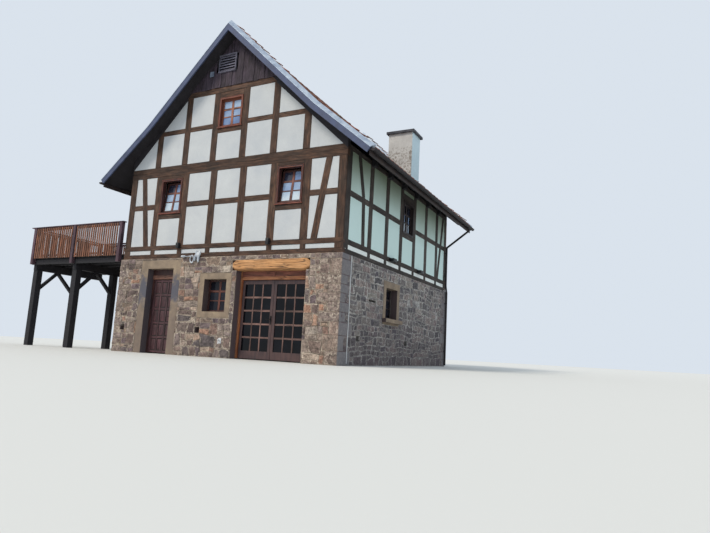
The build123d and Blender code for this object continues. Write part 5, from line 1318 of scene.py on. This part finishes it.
def buildDoorTops():
    # transom rails and panels fixed in the two door frames
    bm = bmesh.new()
    low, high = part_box("double_door_frame")
    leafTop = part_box("double_leaf_left")[1][2]
    y = low[1]
    addTimber(bm, (low[0] + 0.02, y, leafTop + 0.055), (high[0] - 0.02, y, leafTop + 0.055), 0.09, 0.03, (0, -1, 0), 0.012, fine)
    middle = (low[0] + high[0]) / 2
    panel = bmesh.new()
    zMid = (leafTop + 0.1 + high[2]) / 2
    for x0, x1 in ((low[0] + 0.045, middle), (middle, high[0] - 0.045)):
        addTimber(panel, (x0, y, zMid), (x1, y, zMid), high[2] - leafTop - 0.1, 0.02, (0, -1, 0), 0.004, fine)
    addTimber(panel, (middle, y, leafTop + 0.1), (middle, y, high[2]), 0.06, 0.02, (0, -1, 0), 0.014, fine)
    finishPiece("double_door_panel", panel, makeTimber("stainedPanelOak", "#52302a", "#7f4a3c", "#98604e", "#7a5145", 0.6, 0.25, 0.5))
    for x in (low[0] + 0.022, high[0] - 0.022):
        addTimber(bm, (x, y, 0.02), (x, y, high[2]), 0.045, 0.02, (0, -1, 0), 0.006, fine)
    finishPiece("double_door_trim", bm, makeTimber("larchTrim", "#6a3c28", "#94603f", "#ae7b56", "#865f49", 0.6, 0.25, 0.5))
    bm = bmesh.new()
    low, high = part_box("left_door_frame")
    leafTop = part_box("left_door_leaf")[1][2]
    y = low[1]
    addTimber(bm, (low[0] + 0.01, y, leafTop + 0.07), (high[0] - 0.01, y, leafTop + 0.07), 0.12, 0.03, (0, -1, 0), 0.014, fine)
    finishPiece("left_door_transom", bm, makeTimber("transomOak", "#5a3a30", "#7c5546", "#936a58", "#7a5c50", 0.6, 0.3))


buildLeftDoor()
buildDoubleDoor()
buildDoorTops()


# Lintel over the double door

def buildLintel():
    low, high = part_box("timber_lintel")
    rough = {**timber, "step": 0.11, "arris": 0.035, "bow": 0.010, "wane": 0.016, "face": 0.006, "lap": 0.0}
    bm = bmesh.new()
    z = (low[2] + high[2]) / 2
    addTimber(bm, (low[0], low[1], z), (high[0], low[1], z), high[2] - low[2], high[1] - low[1], (0, -1, 0), -0.006, rough)
    tone = bm.verts.layers.float["tone"]
    for v in bm.verts:        # hewn ends, rounded in plan and in height
        v[tone] = 0.55
        end = max(0.0, abs(v.co.x - (low[0] + high[0]) / 2) - ((high[0] - low[0]) / 2 - 0.16)) / 0.16
        if end > 0 and v.co.y < low[1] + 0.08:
            v.co.z = z + (v.co.z - z) * (1 - 0.5 * end * end)
            v.co.y += 0.04 * end * end
    finishPiece("door_lintel", bm, lintelOak, replaces=["timber_lintel"])


buildLintel()


# Deck at the left

deck = {
    "top": 3.0, "board": 0.03, "boardWide": 0.145, "gap": 0.006, "postsX": (-3.900, -6.062, -8.080), "post": 0.12,
    "railTop": 4.035, "slatDrop": 0.025, "slatPitch": 0.098, "slatWide": 0.060, "slatThick": 0.025,
}


def slatPlaces(length):
    count = int((length - 0.02) / deck["slatPitch"])
    start = (length - (count - 1) * deck["slatPitch"]) / 2
    return [start + i * deck["slatPitch"] for i in range(count)]


def buildDeckBoards():
    low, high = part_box("deck_boards")
    bm = bmesh.new()
    count = int((high[0] - low[0]) / (deck["boardWide"] + deck["gap"]))
    step = (high[0] - low[0]) / count
    for i in range(count):
        x = low[0] + step * (i + 0.5)
        addTimber(bm, (x, low[1], high[2]), (x, high[1], high[2]), step - deck["gap"], high[2] - low[2], (0, 0, 1), 0,
                  {**fine, "arris": 0.004, "face": 0.001})
    finishPiece("deck_planks", bm, makeTimber("weatheredDeckLarch", "#5b4c42", "#7f6d5e", "#9b8a79", "#8f867b", 0.85, 0.6),
                replaces=["deck_boards"])


def buildRailing(name, cadNode, origin, along, outward, spans, posts, railSpan):
    # origin lies on the rim; along runs the length of the panel, outward points away from the deck
    origin, along, outward = Vector(origin), Vector(along), Vector(outward)
    rough = {**timber, "arris": 0.005, "bow": 0.001, "wane": 0.001, "lap": 0.0, "step": 0.5}
    top = deck["railTop"]
    slatLow = deck["top"] - deck["board"] - deck["slatDrop"]

    def point(t, out, z):
        p = origin + along * t + outward * out
        return (p.x, p.y, z)

    bm = bmesh.new()
    for t, low in posts:
        addTimber(bm, point(t, deck["post"], low), point(t, deck["post"], top - 0.03), deck["post"], deck["post"], outward, -0.002, rough)
    addTimber(bm, point(railSpan[0], 0.0575, top), point(railSpan[1], 0.0575, top), 0.142, 0.03, (0, 0, 1), 0, rough)
    for a, b in spans:
        for z in (top - 0.095, slatLow + 0.095):
            addTimber(bm, point(a, 0.085, z), point(b, 0.085, z), 0.07, 0.04, outward, 0, rough)
    finishPiece(name + "_posts", bm, deckPostWood, replaces=[cadNode])
    bm = bmesh.new()
    for a, b in spans:
        for s in slatPlaces(b - a):
            lean = timberDice.uniform(-0.003, 0.003)
            addTimber(bm, point(a + s, 0.085 + deck["slatThick"], slatLow), point(a + s + lean, 0.085 + deck["slatThick"], top - 0.05),
                      deck["slatWide"], deck["slatThick"], outward, 0, {**rough, "arris": 0.004})
    finishPiece(name + "_slats", bm, slatWood)


def buildDeck():
    buildDeckBoards()
    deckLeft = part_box("deck_boards")[0][0]
    rim0, rim1 = yFront, yFront + 2.8
    xs = deck["postsX"]
    half = deck["post"] / 2
    spans = [(xs[i + 1] + half, xs[i] - half) for i in range(2)]
    joistLow = 3.0 - 0.03 - 0.16
    buildRailing("front_railing", "railing_front", (0, rim0, 0), (1, 0, 0), (0, -1, 0), spans,
                 [(x, joistLow - 0.06) for x in xs], (deckLeft - 0.06, stoneLeft - 0.02))
    buildRailing("back_railing", "railing_back", (0, rim1, 0), (1, 0, 0), (0, 1, 0), spans,
                 [(x, joistLow) for x in xs], (deckLeft - 0.04, stoneLeft - 0.02))
    buildRailing("end_railing", "railing_end", (deckLeft - 0.045, 0, 0), (0, 1, 0), (-1, 0, 0), [(rim0 + 0.05, rim1 - 0.05)],
                 [(rim0 + 1.4, joistLow), (rim1 - 0.06, joistLow)], (rim0 + 0.03, rim1))
    print("deck built")


buildDeck()


# Lamps and small fittings

def buildLamps():
    bm = bmesh.new()
    for x in (frontPosts[2], frontPosts[5]):
        addLamp(bm, (x, yFront - 0.055, 3.165), (0.09, 0.11, 0.17))
    for d in (3.10, 5.47):
        addLamp(bm, (xRight + 0.075, yFront + d, 3.12), (0.15, 0.26, 0.10))
    finishPiece("wall_lamp_boxes", bm, blackMetal, replaces=["wall_lamps"])


figure = {"z": 2.78, "loop": -0.86, "body": -0.655, "end": -1.19, "stand": 0.05}


def buildFigure():        # painted iron bracket with a hanging loop and a thick body, as large as its plain CAD form
    bm = bmesh.new()
    y = stoneFront - figure["stand"]
    shapes = (
        (figure["body"], 0.075, (0.15, 0.06, 0.13)), (figure["body"] + 0.03, -0.02, (0.07, 0.05, 0.2)),
        (figure["body"] - 0.09, 0.0, (0.05, 0.05, 0.17)), (figure["body"] + 0.075, 0.12, (0.05, 0.05, 0.12)),
        (figure["end"], 0.05, (0.15, 0.06, 0.055)), (figure["body"] - 0.06, 0.15, (0.05, 0.05, 0.1)),
        ((figure["body"] + figure["end"]) / 2, 0.045, (0.5, 0.025, 0.022)),
    )
    for x, up, size in shapes:
        part = bmesh.new()
        bmesh.ops.create_icosphere(part, subdivisions=3, radius=0.62)
        bmesh.ops.scale(part, vec=size, verts=part.verts)
        absorb(bm, part, Matrix.Translation((x, y, figure["z"] + up)))
    bpy.ops.mesh.primitive_torus_add(major_radius=0.075, minor_radius=0.017, major_segments=28, minor_segments=10)
    ring = bpy.context.object
    part = bmesh.new()
    part.from_mesh(ring.data)
    bpy.data.objects.remove(ring)
    stretch = Matrix.Diagonal((0.85, 1, 1.35, 1))
    absorb(bm, part, Matrix.Translation((figure["loop"], y, figure["z"] - 0.04)) @ stretch @ Matrix.Rotation(math.radians(90), 4, "X"))
    for v in bm.verts:
        v.co += Vector((0, 0, 1)) * noise.noise(v.co * 14) * 0.014
    finishPiece("wall_figure", bm, figureSheet, replaces=["wall_ornament"])


def addLamp(bm, centre, size):
    part = bmesh.new()
    bmesh.ops.create_cube(part, size=1)
    bmesh.ops.scale(part, vec=size, verts=part.verts)
    bmesh.ops.bevel(part, geom=part.edges[:], offset=0.008, offset_type="OFFSET", affect="EDGES", segments=2, profile=0.5, material=-1)
    under = min(part.faces, key=lambda f: f.calc_center_median().z)
    bmesh.ops.inset_region(part, faces=[under], thickness=0.012, depth=-0.01)
    absorb(bm, part, Matrix.Translation(centre))


buildLamps()
buildFigure()


# Finishes of the CAD nodes that stay in view

finishes = {
    "stone_front_left": mortar, "stone_front_middle": mortar, "stone_front_right": mortar, "stone_over_doors": mortar,
    "stone_right": shadedSideMortar, "stone_left": mortar, "stone_back": mortar,
    "door_surround": doorStone, "window_surrounds": borderStone,
    "infill_front": plaster, "infill_back": plaster, "infill_right": plaster, "infill_left": plaster,
    "floors": slabStone, "roof_left": shadedRoofWood, "roof_right": shadedRoofWood, "beam_heads": shadedRoofWood,
    "rafters_left": shadedRoofWood, "rafters_right": shadedRoofWood, "gable_rafters": shadedRoofWood,
    "wall_ornament": figureSheet, "wall_tap": tapSheet,
    "barge_boards": vergeSheet, "verge_caps": capSheet, "fascias": darkSheet, "gutters": gutterSheet,
    "downpipe": gutterSheet, "chimney": render, "chimney_cap": capStone,
    "window_casings": joinery, "window_sashes": joinery,
    "left_door_frame": joinery, "left_door_leaf": grooveShadeWood, "double_door_frame": orangeJoinery,
    "double_leaf_left": leafWood, "double_leaf_right": leafWood,
    "double_glass_left": lowerGlass, "double_glass_right": lowerGlass,
    "double_door_handle": handleMetal, "left_door_handle": handleMetal,
    "deck_joists": shadedDeckBeamWood, "deck_supports": shadedDeckBeamWood, "deck_door": joinery, "earth_rod": rodSheet,
}
for node, material in finishes.items():
    mesh = nodes[node].data
    mesh.materials.clear()
    mesh.materials.append(material)
print("CAD nodes finished:", len(finishes))


# Studio: floor, light and camera

studio = {"floor": 60.0, "floorColour": "#cfd0cd", "sky": "#dfe8f2", "skyStrength": 0.95,
          "sun": 2.2, "sunColour": "#fff4e4", "sunAngle": 18, "sunFrom": (-0.45, -0.8, 0.95)}
camera = {"place": (10.588, -16.461, 0.350), "yaw": 26.965, "pitch": 8.617, "roll": 3.073, "lens": 28.627}


def buildStudio():
    bm = bmesh.new()
    bmesh.ops.create_grid(bm, x_segments=1, y_segments=1, size=studio["floor"])
    mesh = bpy.data.meshes.new("studio_floor")
    bm.to_mesh(mesh)
    bm.free()
    material, tree, shader = newMaterial("studioFloor", Roughness=0.9)
    shader.inputs["Base Color"].default_value = linear(studio["floorColour"])
    mesh.materials.append(material)
    ground = bpy.data.objects.new("studio_floor", mesh)
    bpy.context.scene.collection.objects.link(ground)
    world = bpy.data.worlds.new("studioSky")
    world.use_nodes = True
    world.node_tree.nodes["Background"].inputs[0].default_value = linear(studio["sky"])
    world.node_tree.nodes["Background"].inputs[1].default_value = studio["skyStrength"]
    bpy.context.scene.world = world
    lamp = bpy.data.lights.new("softSun", "SUN")
    lamp.energy = studio["sun"]
    lamp.color = linear(studio["sunColour"])[:3]
    lamp.angle = math.radians(studio["sunAngle"])
    sun = bpy.data.objects.new("softSun", lamp)
    sun.rotation_mode = "QUATERNION"
    sun.rotation_quaternion = Vector(studio["sunFrom"]).to_track_quat("Z", "Y")
    bpy.context.scene.collection.objects.link(sun)


def placeCamera():
    yaw, tip, roll = (math.radians(camera[k]) for k in ("yaw", "pitch", "roll"))
    ahead = Vector((-math.sin(yaw) * math.cos(tip), math.cos(yaw) * math.cos(tip), math.sin(tip)))
    level = Vector((math.cos(yaw), math.sin(yaw), 0))
    straight = level.cross(ahead)
    right = math.cos(roll) * level + math.sin(roll) * straight
    up = -math.sin(roll) * level + math.cos(roll) * straight
    lens = bpy.data.cameras.new("photoCamera")
    lens.sensor_width = 36
    lens.lens = camera["lens"]
    lens.clip_end = 300
    eye = bpy.data.objects.new("photoCamera", lens)
    matrix = Matrix((right, up, -ahead)).transposed().to_4x4()
    matrix.translation = Vector(camera["place"])
    eye.matrix_world = matrix
    bpy.context.scene.collection.objects.link(eye)
    bpy.context.scene.camera = eye


buildStudio()
placeCamera()
bpy.context.scene.view_settings.view_transform = "Standard"
print("studio ready")
